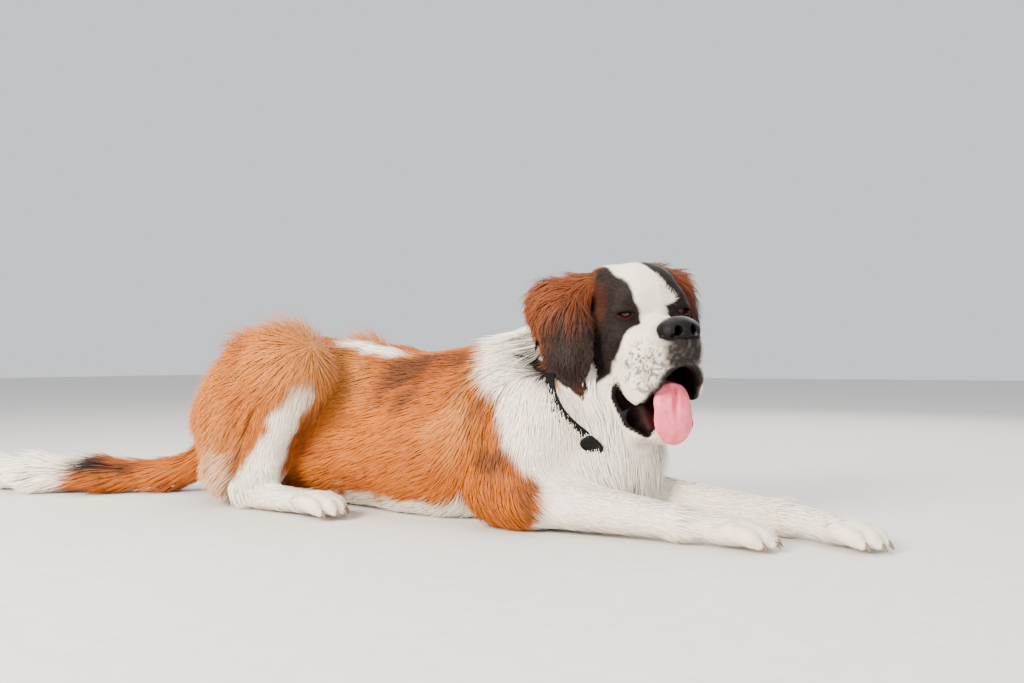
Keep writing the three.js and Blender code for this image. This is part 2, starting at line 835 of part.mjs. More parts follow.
// The body, first as one skin and then taken apart along the forms of the legs
const skin = shaped(wholeBody, [-760, -300, -14], [720, 270, 470], 11, 2700).intersect(aboveFloor);
const parted = [];

function region(field, low, high, triangles) {
  return shaped(field, low, high, 13, triangles);
}

function foot(at, yaw) {
  const low = [at[0] - 95, at[1] - 75, -10];
  const high = [at[0] + 95, at[1] + 75, 80];
  return shaped(footOf(at, yaw), low, high, 4.5, 380).intersect(aboveFloor);
}

function withClaws(leg, at, yaw) {
  const clawed = TOES.reduce((sum, { across, reach }) => {
    const root = new THREE.Vector3(...onFoot(at, yaw, reach + 44, across, -8));
    const tip = new THREE.Vector3(...onFoot(at, yaw, reach + 64, across * 1.03, -21));
    const axis = tip.clone().sub(root);
    const shape = new THREE.CylinderGeometry(1.2, 5.5, axis.length(), 6, 1);
    const upright = new THREE.Vector3(0, 1, 0);
    shape.applyQuaternion(new THREE.Quaternion().setFromUnitVectors(upright, axis.normalize()));
    shape.translate(...root.add(tip).multiplyScalar(0.5).toArray());
    return sum.add(fromGeometry(shape));
  }, leg);
  return clawed.intersect(aboveFloor);
}

// The part of the skin that belongs to a foreleg, with its upper end round across the shoulder.
function foreZone(side, { shoulder, elbow, wrist, foot: toes, r }) {
  const top = [shoulder[0] - 10, side * 168, 166];
  const forearm = blend(
    20,
    limb([elbow[0] + 20, elbow[1], elbow[2]], wrist, r + 8, 44),
    limb(wrist, toes, 44, 40),
  );
  return blend(20, limb(top, [elbow[0] - 4, elbow[1] + side * 8, elbow[2]], 76, r + 14), forearm);
}

for (const name of ["right", "left"]) {
  const leg = FORE[name];
  const zone = region(foreZone(name === "left" ? 1 : -1, leg), [-90, -300, -40], [740, 300, 330], 200);
  const toes = foot(leg.foot, leg.yaw);
  const arm = cut(skin.intersect(zone), ...swollen("collar", "collar_tab", "ear_right", "ear_left"));
  solids["foreleg_" + name] = withClaws(arm.add(toes), leg.foot, leg.yaw);
  parted.push(swell(zone), swell(toes));
}

function shankZone({ side, heel, toes }) {
  const [x, y, z] = heel;
  return blend(
    20,
    limb([x + 74, y + side * 24, z + 98], [x + 42, y + side * 10, z + 54], 58, 56),
    limb([x + 42, y + side * 8, z + 54], [x - 4, y, z - 6], 58, 50),
    limb([x, y, z - 10], [toes[0] - 30, toes[1] - side * 4, 26], 46, 44),
  );
}

for (const name of ["right", "left"]) {
  const leg = HIND[name];
  const { side, toes } = leg;
  const across = (near, far) => (side > 0 ? [near, far] : [-far, -near]);
  const [shankLow, shankHigh] = across(60, 300);
  const [thighLow, thighHigh] = across(-30, 320);
  const [apartLow, apartHigh] = across(44, 400);
  const lower = region(shankZone(leg), [-640, shankLow, -60], [-220, shankHigh, 300], 200);
  const upper = region(grow(thighOf(leg), 6), [-740, thighLow, -40], [-220, thighHigh, 430], 220);
  const thigh = upper.intersect(block([-900, apartLow, -50], [0, apartHigh, 500]));
  const pads = foot(toes, 8 * side);
  solids["hindfoot_" + name] = withClaws(skin.intersect(lower).add(pads), toes, 8 * side);
  solids["thigh_" + name] = cut(skin.intersect(thigh), swell(lower), swell(pads));
  parted.push(swell(lower), swell(pads), swell(thigh));
}

// The tail, in three lengths
const tailWhole = shaped(tailField, [-1365, -290, -12], [-560, 120, 240], 9, 640).intersect(aboveFloor);
const TAIL_CUTS = [
  { at: [-800, -44, 0], normal: [-0.92, -0.39, 0] },
  { at: [-1070, -186, 0], normal: [-0.98, -0.2, 0] },
];
const tailRest = TAIL_CUTS.map(({ at, normal }) => beyond(at, normal));
const tailKeep = TAIL_CUTS.map(({ at, normal }) => beyond(at.map((e, i) => e - normal[i] * GAP), normal));
const behindHip = beyond([-640, 0, 0], [-1, 0, 0]);
solids.tail_root = cut(tailWhole.intersect(behindHip), tailKeep[0], ...swollen("thigh_right", "thigh_left"));
solids.tail_middle = cut(tailWhole.intersect(tailRest[0]), tailKeep[1]);
solids.tail_tip = tailWhole.intersect(tailRest[1]);

// The neck and the trunk are what the other forms leave.
const flesh = cut(
  skin,
  ...parted,
  ...swollen("head", "lower_jaw", "tongue", "ear_right", "ear_left", "collar", "collar_tab", "tail_root"),
);
const NECK_WAY = [0.7, 0, 0.714];
const NECK_AT = [190, 0, 232];
const WAIST = -205;
const pastNeck = beyond(NECK_AT, NECK_WAY);
const nearNeck = beyond(NECK_AT.map((e, i) => e - NECK_WAY[i] * GAP), NECK_WAY);
const pastWaist = beyond([WAIST, 0, 0], [-1, 0, 0]);
const nearWaist = beyond([WAIST + GAP, 0, 0], [-1, 0, 0]);
solids.neck = flesh.intersect(pastNeck);
solids.chest = cut(flesh, nearNeck, nearWaist);
solids.loin = flesh.intersect(pastWaist);

// Finishes
const FINISHES = {
  orange: [0xc8783c, 0.9],
  white: [0xe9e2d8, 0.9],
  black: [0x16141a, 0.5],
  pink: [0xe08c96, 0.35],
  eye: [0x2c1a10, 0.08],
  strap: [0x1c1c22, 0.7],
};
const WEARS = {
  eye_right: "eye",
  eye_left: "eye",
  nose: "black",
  tongue: "pink",
  collar: "strap",
  collar_tab: "black",
  head: "white",
  lower_jaw: "white",
  ear_right: "orange",
  ear_left: "orange",
  neck: "white",
  chest: "orange",
  loin: "orange",
  foreleg_right: "white",
  foreleg_left: "white",
  thigh_right: "orange",
  thigh_left: "orange",
  hindfoot_right: "white",
  hindfoot_left: "white",
  tail_root: "orange",
  tail_middle: "orange",
  tail_tip: "white",
};

const TIDY = 0.4;
const LEAST_GAPS = [0.3, 0.5, 0.8, 1.2, 1.8];
const LEAN = 300;
const settled = [];

function tidied(solid, limit) {
  return onGrid(solidOf(thin(meshOf(solid), 0, undefined, limit)));
}

// Moves corners to a fine grid, so that no two are almost but not quite at one place.
function onGrid(solid) {
  const { points, faces } = meshOf(solid);
  const known = new Map();
  const kept = [];
  const at = points.map((p) => {
    const snapped = p.map((e) => Math.round(e * GRID) / GRID);
    const key = snapped.join(" ");
    if (!known.has(key)) known.set(key, kept.push(snapped) - 1);
    return known.get(key);
  });
  const whole = faces.map((f) => f.map((v) => at[v])).filter((f) => new Set(f).size === 3);
  try {
    return largest(solidOf({ points: kept, faces: whole }));
  } catch {
    return largest(solid);
  }
}

// Drops the triangles that cutting made too many of, and keeps the piece clear of those already settled.
function settle(solid) {
  let piece = solid.numTri() > LEAN ? tidied(largest(solid), TIDY) : onGrid(largest(solid));
  for (const gap of LEAST_GAPS) {
    const close = settled.filter((other) => piece.intersect(other).volume() > 1e-3);
    if (!close.length) break;
    for (const other of close) piece = piece.subtract(swell(other, gap)).subtract(other);
    piece = tidied(largest(piece), SHORTEST);
  }
  for (const other of settled.filter((one) => piece.intersect(one).volume() > 1e-3))
    piece = onGrid(largest(piece.subtract(swell(other, 0.6)).subtract(other)));
  settled.push(piece);
  return piece;
}

function node(name, solid) {
  const { points, faces } = meshOf(settle(solid));
  const shape = new THREE.BufferGeometry();
  shape.setAttribute("position", new THREE.Float32BufferAttribute(points.flat(), 3));
  shape.setIndex(faces.flat());
  shape.computeVertexNormals();
  const [color, roughness] = FINISHES[WEARS[name]];
  const made = new THREE.Mesh(shape, new THREE.MeshStandardMaterial({ color, roughness, metalness: 0 }));
  made.name = name;
  return made;
}

const dog = new THREE.Group();
dog.name = "saint_bernard";
for (const name of Object.keys(WEARS)) dog.add(node(name, solids[name]));

export default dog;
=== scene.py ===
"""A Saint Bernard lying down with its head up and its mouth open, as a life-size still model.

Shapes are worked out in millimetres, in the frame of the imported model, and become metres in Blender.
"""

from __future__ import annotations

import logging
import math
from dataclasses import dataclass, field
from enum import Enum
from typing import Any, Callable, Iterable, Optional, Sequence

import bpy
import numpy as np
from mathutils import Euler, Matrix, Vector

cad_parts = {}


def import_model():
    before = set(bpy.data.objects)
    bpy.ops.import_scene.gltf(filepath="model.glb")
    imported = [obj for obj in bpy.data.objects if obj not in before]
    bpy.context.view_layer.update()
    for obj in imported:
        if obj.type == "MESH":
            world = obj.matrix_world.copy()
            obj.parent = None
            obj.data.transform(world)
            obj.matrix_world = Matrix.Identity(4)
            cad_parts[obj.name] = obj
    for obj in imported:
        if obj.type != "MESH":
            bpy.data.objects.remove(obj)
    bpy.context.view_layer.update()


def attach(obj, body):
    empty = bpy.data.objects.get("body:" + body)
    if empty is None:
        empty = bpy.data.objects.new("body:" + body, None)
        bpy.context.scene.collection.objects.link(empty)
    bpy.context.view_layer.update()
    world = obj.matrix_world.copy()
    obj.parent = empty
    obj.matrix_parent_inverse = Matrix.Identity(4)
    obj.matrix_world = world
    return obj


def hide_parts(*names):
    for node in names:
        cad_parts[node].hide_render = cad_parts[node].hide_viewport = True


LOG = logging.getLogger("saint_bernard")
Array = np.ndarray
Field = Callable[[Array], Array]
Point = Sequence[float]
MM = 0.001
RIGHT, LEFT = -1, 1
SIDES = (RIGHT, LEFT)


# Distance fields: each takes points in mm, one per row, and is negative inside its form.


def ball(centre: Point, radii: Point, aim: Point = (1, 0, 0)) -> Field:
    """An ellipsoid.

    Args:
        centre: its middle.
        radii: its radii along the way it is aimed, sideways and upwards.
        aim: the way that the first radius points.

    Returns:
        The distance field.
    """
    along = unit(np.array(aim, float))
    side = unit(np.cross([0, 0, 1], along))
    frame = np.array([along, side, np.cross(along, side)]).T.astype(np.float32)
    at = np.array(centre, np.float32)
    size = np.array(radii, np.float32)

    def distance(p: Array) -> Array:
        q = (p - at) @ frame / size
        near = np.sqrt((q * q).sum(1))
        slope = np.sqrt(((q / size) ** 2).sum(1))
        return np.where(slope < 1e-9, -size.min(), near * (near - 1) / np.maximum(slope, 1e-9))

    return distance


def limb(a: Point, b: Point, ra: float, rb: float, wide: float = 1, tall: float = 1) -> Field:
    """A tapered limb with round ends.

    Args:
        a: the middle of its first end.
        b: the middle of its last end.
        ra: the radius at a.
        rb: the radius at b.
        wide: how much its section is stretched along Y.
        tall: how much its section is stretched along Z.

    Returns:
        The distance field.
    """
    start = np.array(a, np.float32)
    way = np.array(b, np.float32) - start
    long = float(way @ way)
    stretch = np.array([1, wide, tall], np.float32)
    shrink = min(1.0, wide, tall)

    def distance(p: Array) -> Array:
        q = p - start
        t = np.clip(q @ way / long, 0, 1)
        q = (q - t[:, None] * way) / stretch
        return (np.sqrt((q * q).sum(1)) - ra - (rb - ra) * t) * shrink

    return distance


def soft_min(a: Array, b: Array, k: float) -> Array:
    """The smaller of two distances, with a fillet about k wide."""
    h = np.maximum(k - np.abs(a - b), 0) / k
    return np.minimum(a, b) - h * h * k * 0.25


def blend(k: float, *forms: Field) -> Field:
    """Joins forms, with a fillet about k wide where they meet.

    Args:
        k: how wide the fillet is.
        forms: the forms' fields.

    Returns:
        The distance field.
    """

    def distance(p: Array) -> Array:
        d = forms[0](p)
        for form in forms[1:]:
            d = soft_min(d, form(p), k)
        return d

    return distance


def carve(k: float, form: Field, tool: Field) -> Field:
    """Takes one form out of another, with an edge about k wide."""
    return lambda p: -soft_min(-form(p), tool(p), k)


def grow(form: Field, by: float) -> Field:
    """A form made larger all round, or smaller where by is negative."""
    return lambda p: form(p) - by


def both(make: Callable[[int], Field]) -> list[Field]:
    """A form for the right side and one for the left."""
    return [make(s) for s in SIDES]


def unit(v: Array) -> Array:
    """Vectors made one long."""
    return v / np.maximum(np.linalg.norm(v, axis=-1, keepdims=True), 1e-9)


def slope_of(form: Field, p: Array, step: float = 0.6) -> Array:
    """The way in which a field grows fastest at some points, one long.

    Args:
        form: the field.
        p: the points.
        step: how far apart the field is read.

    Returns:
        One direction for each point.
    """
    g = np.empty_like(p)
    for i in range(3):
        d = np.zeros(3, np.float32)
        d[i] = step
        g[:, i] = form(p + d) - form(p - d)
    return unit(g)


def smooth(value: Array, low: float, high: float) -> Array:
    """A soft step from 0 at low to 1 at high."""
    t = np.clip((value - low) / (high - low), 0, 1)
    return t * t * (3 - 2 * t)


def noise(p: Array, scale: float, seed: int = 0) -> Array:
    """Soft random values between 0 and 1 over space.

    Args:
        p: points in mm.
        scale: the size of a blotch in mm.
        seed: picks another pattern.

    Returns:
        One value for each point.
    """
    q = p / scale + 1000 + seed * 17.3
    base = np.floor(q).astype(np.int64)
    f = q - base
    f = f * f * (3 - 2 * f)
    total = np.zeros(len(p))
    for i in (0, 1):
        for j in (0, 1):
            for k in (0, 1):
                c = base + [i, j, k]
                h = (c[:, 0] * 73856093) ^ (c[:, 1] * 19349663) ^ (c[:, 2] * 83492791) ^ (seed * 2654435)
                h = (h * 1103515245 + 12345) & 0x7FFFFFFF
                h = (h ^ (h >> 13)) * 1274126177 & 0x7FFFFFFF
                w = (f[:, 0] if i else 1 - f[:, 0]) * (f[:, 1] if j else 1 - f[:, 1]) * (f[:, 2] if k else 1 - f[:, 2])
                total += w * (h / 0x7FFFFFFF)
    return total


# The head has its own frame: X towards the nose, Y to its left, Z up, and 0 halfway between the eyes.

HEAD_AT = np.array([330, -62, 393], np.float32)
HEAD_YAW, HEAD_ROLL = -46.0, 4.5
HEAD_TURN = np.array(
    Matrix.Rotation(math.radians(HEAD_YAW), 3, "Z") @ Matrix.Rotation(math.radians(HEAD_ROLL), 3, "X"), np.float32
)


def to_head(p: Array) -> Array:
    """Points of the body's frame in the head's frame."""
    return (p - HEAD_AT) @ HEAD_TURN


def from_head(p: Array) -> Array:
    """Points of the head's frame in the body's frame."""
    return p @ HEAD_TURN.T + HEAD_AT


def on_head(form: Field) -> Field:
    """A form of the head's frame, for points of the body's frame."""
    return lambda p: form(to_head(p))


# The limbs, each from the places of its joints in mm.


@dataclass(frozen=True)
class HindLeg:
    """The joints of a folded hind leg."""

    side: int
    hip: Point
    knee: Point
    heel: Point
    toes: Point

    def thigh(self) -> Field:
        """The thigh and the haunch.

        Returns:
            The distance field.
        """
        h, k, s = self.hip, self.knee, self.side
        return blend(
            50,
            limb(h, k, 116, 90, 0.9),
            limb((h[0] - 52, s * 96, 180), (h[0] - 12, s * 132, 84), 92, 82),
            ball((k[0] - 85, s * 160, k[2] - 46), (112, 62, 112)),
        )

    def shank(self) -> Field:
        """The lower leg, from the knee to the heel.

        Returns:
            The distance field.
        """
        h, k, s = self.heel, self.knee, self.side
        bend = (h[0] + 42, h[1] + s * 4, h[2] + 54)
        return blend(
            30,
            limb((k[0] - 4, k[1] + s * 6, k[2] - 22), bend, 74, 44, 0.82),
            limb((h[0] + 52, h[1], h[2] + 52), h, 44, 33, 0.85),
        )

    def metatarsus(self) -> Field:
        """The long foot along the floor."""
        h, t = self.heel, self.toes
        return limb((h[0], h[1], h[2] - 8), (t[0] - 40, t[1] - self.side * 4, 29), 32, 26)

    def foot(self) -> Foot:
        """The foot with its toes."""
        return Foot(self.toes, 8.0 * self.side)


@dataclass(frozen=True)
class ForeLeg:
    """The joints of a foreleg stretched out in front."""

    side: int
    shoulder: Point
    elbow: Point
    wrist: Point
    toes: Point
    yaw: float
    r: float

    def leg(self) -> Field:
        """The upper arm and the forearm.

        Returns:
            The distance field.
        """
        x, y, z = self.elbow
        t, w, r = self.toes, self.wrist, self.r
        upper = blend(
            40,
            limb(self.shoulder, (x - 14, y, z + 14), 88, r + 6, 0.85),
            limb((x - 30, y, z + 4), (x + 30, y, z), r + 2, r),
        )
        fore = blend(
            20, limb((x + 20, y, z - 2), w, r - 2, 31, 1.05), limb(w, (t[0] - 20, t[1], t[2] + 2), 31, 25, 1.12)
        )
        return blend(30, upper, fore)

    def foot(self) -> Foot:
        """The foot with its toes."""
        return Foot(self.toes, self.yaw)


@dataclass(frozen=True)
class Foot:
    """A foot with four toes and their claws."""

    at: Point
    yaw: float
    toes: tuple[tuple[float, float], ...] = ((-32.25, -10), (-10.75, 6), (10.75, 6), (32.25, -10))

    def place(self, along: float, across: float, up: float) -> tuple[float, float, float]:
        """A place on the foot, in the body's frame."""
        c, s = math.cos(math.radians(self.yaw)), math.sin(math.radians(self.yaw))
        return (self.at[0] + along * c - across * s, self.at[1] + along * s + across * c, self.at[2] + up)

    def form(self) -> Field:
        """The pad and the toes.

        Returns:
            The distance field.
        """
        way = (math.cos(math.radians(self.yaw)), math.sin(math.radians(self.yaw)), 0)
        toes = [
            blend(
                6,
                limb(self.place(reach, across, 4), self.place(reach + 30, across, -4), 18, 17),
                limb(self.place(reach + 26, across, -2), self.place(reach + 42, across, -12), 15, 12),
            )
            for across, reach in self.toes
        ]
        return blend(6, ball(self.place(-12, 0, 0), (56, 42, 26), way), *toes)


Leg = HindLeg | ForeLeg
HIND = (
    HindLeg(RIGHT, (-535, -112, 200), (-385, -178, 284), (-500, -174, 40), (-290, -205, 30)),
    HindLeg(LEFT, (-540, 112, 192), (-432, 168, 262), (-540, 170, 40), (-332, 200, 30)),
)
FORE = (
    ForeLeg(RIGHT, (120, -118, 190), (92, -146, 60), (398, -151, 34), (500, -152, 27), -1.0, 56),
    ForeLeg(LEFT, (160, 108, 178), (212, 84, 46), (548, -24, 34), (662, -74, 27), -25.0, 51),
)
TAIL = (
    ((-625, 0, 150), 56),
    ((-712, -6, 94), 46),
    ((-812, -52, 44), 37),
    ((-935, -135, 40), 41),
    ((-1080, -190, 40), 45),
    ((-1220, -195, 38), 38),
    ((-1325, -176, 30), 17),
)
TRUNK = blend(
    60,
    ball((-55, 0, 158), (300, 165, 160)),
    limb((40, 0, 258), (-120, 0, 240), 84, 68, 1.15),
    limb((175, 0, 92), (-160, 0, 104), 92, 108, 1.35),
    ball((205, -4, 150), (118, 118, 132)),
    ball((-335, 0, 182), (245, 138, 150)),
    limb((-90, 0, 88), (-430, 0, 92), 96, 92, 1.5),
    limb((-235, 0, 268), (-420, 0, 296), 50, 52, 1.3),
    ball((-520, 0, 222), (150, 116, 130)),
    ball((-596, 0, 150), (106, 108, 138)),
)
SHOULDERS = blend(
    40, ball((85, -98, 175), (125, 72, 128), (1, 0, 0.25)), ball((105, 98, 170), (125, 72, 124), (1, 0, 0.25))
)
NECK = blend(
    70,
    limb((30, 0, 205), (166, 34, 328), 136, 92),
    limb((160, 4, 182), (222, 22, 258), 108, 74),
    limb((205, -8, 118), (180, 0, 186), 117, 106),
)
TAIL_FORM = blend(30, *(limb(a, b, ra, rb, 1.1) for (a, ra), (b, rb) in zip(TAIL, TAIL[1:])))

SKULL = blend(
    26,
    ball((-84, 0, 8), (98, 86, 86)),
    ball((-34, 0, 33), (58, 62, 54)),
    ball((-142, 0, 0), (58, 74, 72)),
    *both(lambda s: ball((-96, s * 46, 52), (54, 36, 38))),
    *both(lambda s: ball((-66, s * 54, -56), (70, 36, 66))),
    *both(lambda s: ball((-14, s * 40, 17), (30, 28, 19))),
    *both(lambda s: limb((-52, s * 66, -14), (-14, s * 54, -30), 25, 23)),
)
MUZZLE = blend(
    20,
    limb((2, 0, -44), (78, 0, -52), 38, 33, 1.05),
    ball((58, 0, -68), (46, 45, 40)),
    *both(lambda s: limb((8, s * 46, -68), (60, s * 29, -76), 28, 29, 0.9, 1.3)),
)
FLEWS = blend(
    12,
    *both(
        lambda s: blend(
            14,
            limb((84, s * 13, -82), (60, s * 36, -119), 20, 20, 0.8),
            limb((60, s * 36, -119), (22, s * 52, -136), 20, 24, 0.72, 1.15),
            limb((22, s * 52, -136), (-30, s * 56, -118), 24, 26, 0.6, 1.1),
            limb((4, s * 52, -80), (4, s * 55, -130), 30, 22, 0.7),
        )
    ),
)
PALATE = blend(
    12,
    limb((52, 0, -118), (112, 0, -136), 20, 30, 1.1),
    limb((-50, 0, -110), (52, 0, -118), 24, 25, 1.4),
    ball((30, 0, -150), (70, 41, 50)),
)
EYE_RADIUS, EYE_SPREAD = 16.0, 50.0
SOCKETS = both(lambda s: ball((-13, s * (EYE_SPREAD + 3), -4), (28, 25, 21), (0.86, s * 0.5, 0)))
LID_SLITS = blend(
    1,
    *both(
        lambda s: blend(
            3,
            ball((4, s * (EYE_SPREAD + 8), -4.2), (20, 14, 4.0), (0.86, s * 0.5, 0)),
            ball((4, s * (EYE_SPREAD + 8), -7.2), (19, 7.5, 4.6), (0.86, s * 0.5, 0)),
        )
    ),
)
NOSE_SHAPE = blend(
    8,
    ball((88, 0, -40), (25, 30, 22)),
    ball((80, 0, -32), (26, 28, 17)),
    *both(lambda s: ball((83, s * 23, -42), (22, 14.5, 18))),
    limb((96, 0, -48), (92, 0, -62), 11, 8, 1.4),
)
NOSTRILS = blend(
    2,
    *both(lambda s: limb((118, s * 13, -38), (90, s * 14, -41), 6, 7.5, 0.95, 1.25)),
    *both(lambda s: limb((104, s * 21, -47), (86, s * 37, -46), 3.2, 2.6, 1, 1.2)),
    limb((121, 0, -32), (111, 0, -66), 3.2, 3.2),
)
JAW_SHAPE = blend(
    16,
    *both(lambda s: limb((-88, s * 52, -96), (-10, s * 40, -200), 34, 27)),
    ball((0, 0, -212), (38, 42, 30)),
    limb((-80, 0, -124), (-4, 0, -206), 42, 32),
    *both(lambda s: limb((-52, s * 60, -146), (-6, s * 47, -212), 16, 20, 0.8)),
    *both(lambda s: limb((-64, s * 70, -136), (-56, s * 56, -204), 22, 21)),
)
JAW_HOLLOW = blend(
    10,
    limb((-56, 0, -104), (26, 0, -180), 32, 23),
    *both(lambda s: limb((-42, s * 42, -132), (4, s * 34, -204), 15, 14)),
    *both(lambda s: limb((-28, s * 54, -146), (-32, s * 48, -202), 20, 17)),
    *both(lambda s: limb((-22, s * 48, -194), (44, s * 46, -184), 14, 24)),
    limb((6, 0, -156), (60, 0, -196), 28, 14, 1.4),
)
TONGUE = carve(
    5,
    blend(
        14,
        limb((-40, 0, -128), (36, -3, -140), 9, 9, 3.2),
        ball((50, -5, -160), (13, 33, 30)),
        ball((57, -8, -192), (10, 37, 44)),
    ),
    limb((56, -4, -138), (80, -8, -210), 5, 6),
)


@dataclass(frozen=True)
class Ear:
    """A hanging ear: where it grows, where it folds and how its flap lies, in the head's frame."""

    side: int
    root: Point
    fold: Point
    back: Point
    sweep: Point
    flap: Point
    aim: Point

    def form(self, thinner: float = 0.0) -> Field:
        """The ear with the hollow under it, thinner by the depth of its hair.

        Args:
            thinner: the hair's depth.

        Returns:
            The distance field.
        """
        x, y, z = self.flap
        leather = blend(
            26,
            limb(self.root, self.fold, 27, 28),
            ball(self.back, (60, 21, 53), self.sweep),
            ball(self.flap, (56, 16, 88), self.aim),
            limb(self.fold, (x, y, z - 36), 30, 28, 0.6),
        )
        under = ball((x + 3 * self.side * self.aim[1], y - self.side * 17, z - 16), (42, 12, 70), self.aim)
        return carve(6, grow(leather, -thinner), under)


EARS = (
    Ear(
        RIGHT,
        root=(-88, -54, 62),
        fold=(-100, -98, 44),
        back=(-114, -148, 24),
        sweep=(0.83, 0.56, 0.1),
        flap=(-74, -142, -46),
        aim=(0.66, 0.75, 0.03),
    ),
    Ear(
        LEFT,
        root=(-86, 54, 68),
        fold=(-100, 94, 42),
        back=(-126, 118, 16),
        sweep=(0.96, -0.28, 0.1),
        flap=(-84, 114, -46),
        aim=(1, -0.3, 0.04),
    ),
)


class Place(Enum):
    """The places of the body, each with a coat of its own."""

    TRUNK = 0
    SHOULDERS = 1
    NECK = 2
    THIGHS = 3
    SHANKS = 4
    HIND_FEET = 5
    FORELEGS = 6
    FOREFEET = 7
    TAIL = 8
    SKULL = 9
    MUZZLE = 10
    JAW = 11
    EARS = 12


@dataclass(frozen=True)
class Coat:
    """How the hair of one place grows, in mm.

    Attributes:
        depth: how far the tips of the coat stand from the skin.
        spacing: from one tuft's root to the next.
        length: a tuft's length.
        width: a tuft's widest.
        lift: how steeply it stands, as a rise for each mm of length.
        wave: how far it swings from side to side.
        rings: sections along it, before its tip.
    """

    depth: float
    spacing: float
    length: float
    width: float
    lift: float
    wave: float = 1.0
    rings: int = 2


COATS: dict[Place, Coat] = {
    Place.TRUNK: Coat(7, 4.4, 36, 2.1, 0.2, 2.4, 2),
    Place.SHOULDERS: Coat(8, 4.0, 42, 2.1, 0.22, 3.0, 2),
    Place.NECK: Coat(14, 3.5, 62, 2.1, 0.24, 4.0, 3),
    Place.THIGHS: Coat(12, 4.0, 46, 2.1, 0.34, 3.5, 2),
    Place.SHANKS: Coat(6, 3.7, 24, 1.8, 0.2, 1.0, 2),
    Place.HIND_FEET: Coat(4, 2.3, 10, 1.3, 0.12, 0.4, 1),
    Place.FORELEGS: Coat(6, 3.9, 25, 1.9, 0.18, 1.2, 2),
    Place.FOREFEET: Coat(4, 2.3, 10, 1.3, 0.12, 0.4, 1),
    Place.TAIL: Coat(15, 4.0, 68, 2.5, 0.28, 5.0, 3),
    Place.SKULL: Coat(4, 2.0, 12, 1.3, 0.14, 0.6, 1),
    Place.MUZZLE: Coat(2, 1.7, 7, 1.0, 0.1, 0.2, 1),
    Place.JAW: Coat(4, 2.3, 14, 1.3, 0.14, 0.6, 1),
    Place.EARS: Coat(6, 3.0, 44, 1.8, 0.2, 6.0, 3),
}


def depth(place: Place) -> float:
    """How far the skin of a place lies inside the outline."""
    return COATS[place].depth


class Flesh:
    """The flesh under the coat, as one field, and the places that it is made of."""

    HEAD_REACH = 420
    FLOOR_GAP = 1.2
    NOSTRIL_WALL = 1.2

    def __init__(self) -> None:
        """Sets up the field of each place, with the coat's depth taken off."""
        d = depth
        head = blend(14, SKULL, *SOCKETS)
        snout = blend(14, MUZZLE, FLEWS)
        self.places: dict[Place, Field] = {
            Place.TRUNK: grow(TRUNK, -d(Place.TRUNK)),
            Place.SHOULDERS: grow(SHOULDERS, -d(Place.SHOULDERS)),
            Place.NECK: grow(NECK, -d(Place.NECK)),
            Place.THIGHS: self.pair(grow(leg.thigh(), -d(Place.THIGHS)) for leg in HIND),
            Place.SHANKS: self.pair(grow(blend(24, leg.shank(), leg.metatarsus()), -d(Place.SHANKS)) for leg in HIND),
            Place.HIND_FEET: self.pair(grow(leg.foot().form(), -d(Place.HIND_FEET)) for leg in HIND),
            Place.FORELEGS: self.pair(grow(leg.leg(), -d(Place.FORELEGS)) for leg in FORE),
            Place.FOREFEET: self.pair(grow(leg.foot().form(), -d(Place.FOREFEET)) for leg in FORE),
            Place.TAIL: grow(TAIL_FORM, -d(Place.TAIL)),
            Place.SKULL: on_head(grow(head, -d(Place.SKULL))),
            Place.MUZZLE: on_head(grow(snout, -d(Place.MUZZLE))),
            Place.JAW: on_head(carve(5, grow(JAW_SHAPE, -d(Place.JAW)), JAW_HOLLOW)),
            Place.EARS: self.pair(on_head(ear.form(d(Place.EARS))) for ear in EARS),
        }

    @staticmethod
    def pair(forms: Iterable[Field]) -> Field:
        """The right one and the left one as one field."""
        right, left = forms
        return lambda p: np.minimum(right(p), left(p))

    def body(self, p: Array) -> Array:
        """The distance to the body's skin, without the head.

        Args:
            p: points in the body's frame.

        Returns:
            One distance for each point.
        """
        f = self.places
        d = soft_min(f[Place.TRUNK](p), f[Place.SHOULDERS](p), 46)
        d = soft_min(d, f[Place.NECK](p), 46)
        hind = soft_min(f[Place.THIGHS](p), f[Place.SHANKS](p), 24)
        d = soft_min(d, hind, 30)
        d = soft_min(d, f[Place.FORELEGS](p), 30)
        d = soft_min(d, f[Place.TAIL](p), 20)
        d = soft_min(d, f[Place.HIND_FEET](p), 8)
        return soft_min(d, f[Place.FOREFEET](p), 8)

    def head(self, p: Array) -> Array:
        """The distance to the head's skin, with the mouth and the slits of the lids cut out.

        Args:
            p: points in the body's frame.

        Returns:
            One distance for each point.
        """
        f = self.places
        q = to_head(p)
        d = soft_min(f[Place.SKULL](p), f[Place.MUZZLE](p), 14)
        d = -soft_min(-d, PALATE(q), 9)
        d = -soft_min(-d, LID_SLITS(q), 2.5)
        d = -soft_min(-d, NOSTRILS(q) - self.NOSTRIL_WALL, 2)
        d = soft_min(d, f[Place.JAW](p), 10)
        d = soft_min(d, f[Place.EARS](p), 9)
        return d

    def __call__(self, p: Array) -> Array:
        """The distance to the skin.

        Args:
            p: points in the body's frame.

        Returns:
            One distance for each point.
        """
        near = np.linalg.norm(p - HEAD_AT, axis=1) < self.HEAD_REACH
        d = self.body(p)
        if near.any():
            d[near] = soft_min(d[near], self.head(p[near]), 16)
            nose = carve(2, grow(NOSE_SHAPE, -3), grow(NOSTRILS, self.NOSTRIL_WALL))
            d[near] = soft_min(d[near], nose(to_head(p[near])), 3)
        return np.maximum(d, self.FLOOR_GAP - p[:, 2])

    def place_of(self, p: Array) -> Array:
        """The number of the place that each point is nearest to."""
        values = np.stack([self.places[place](p) for place in Place])
        return values.argmin(0)


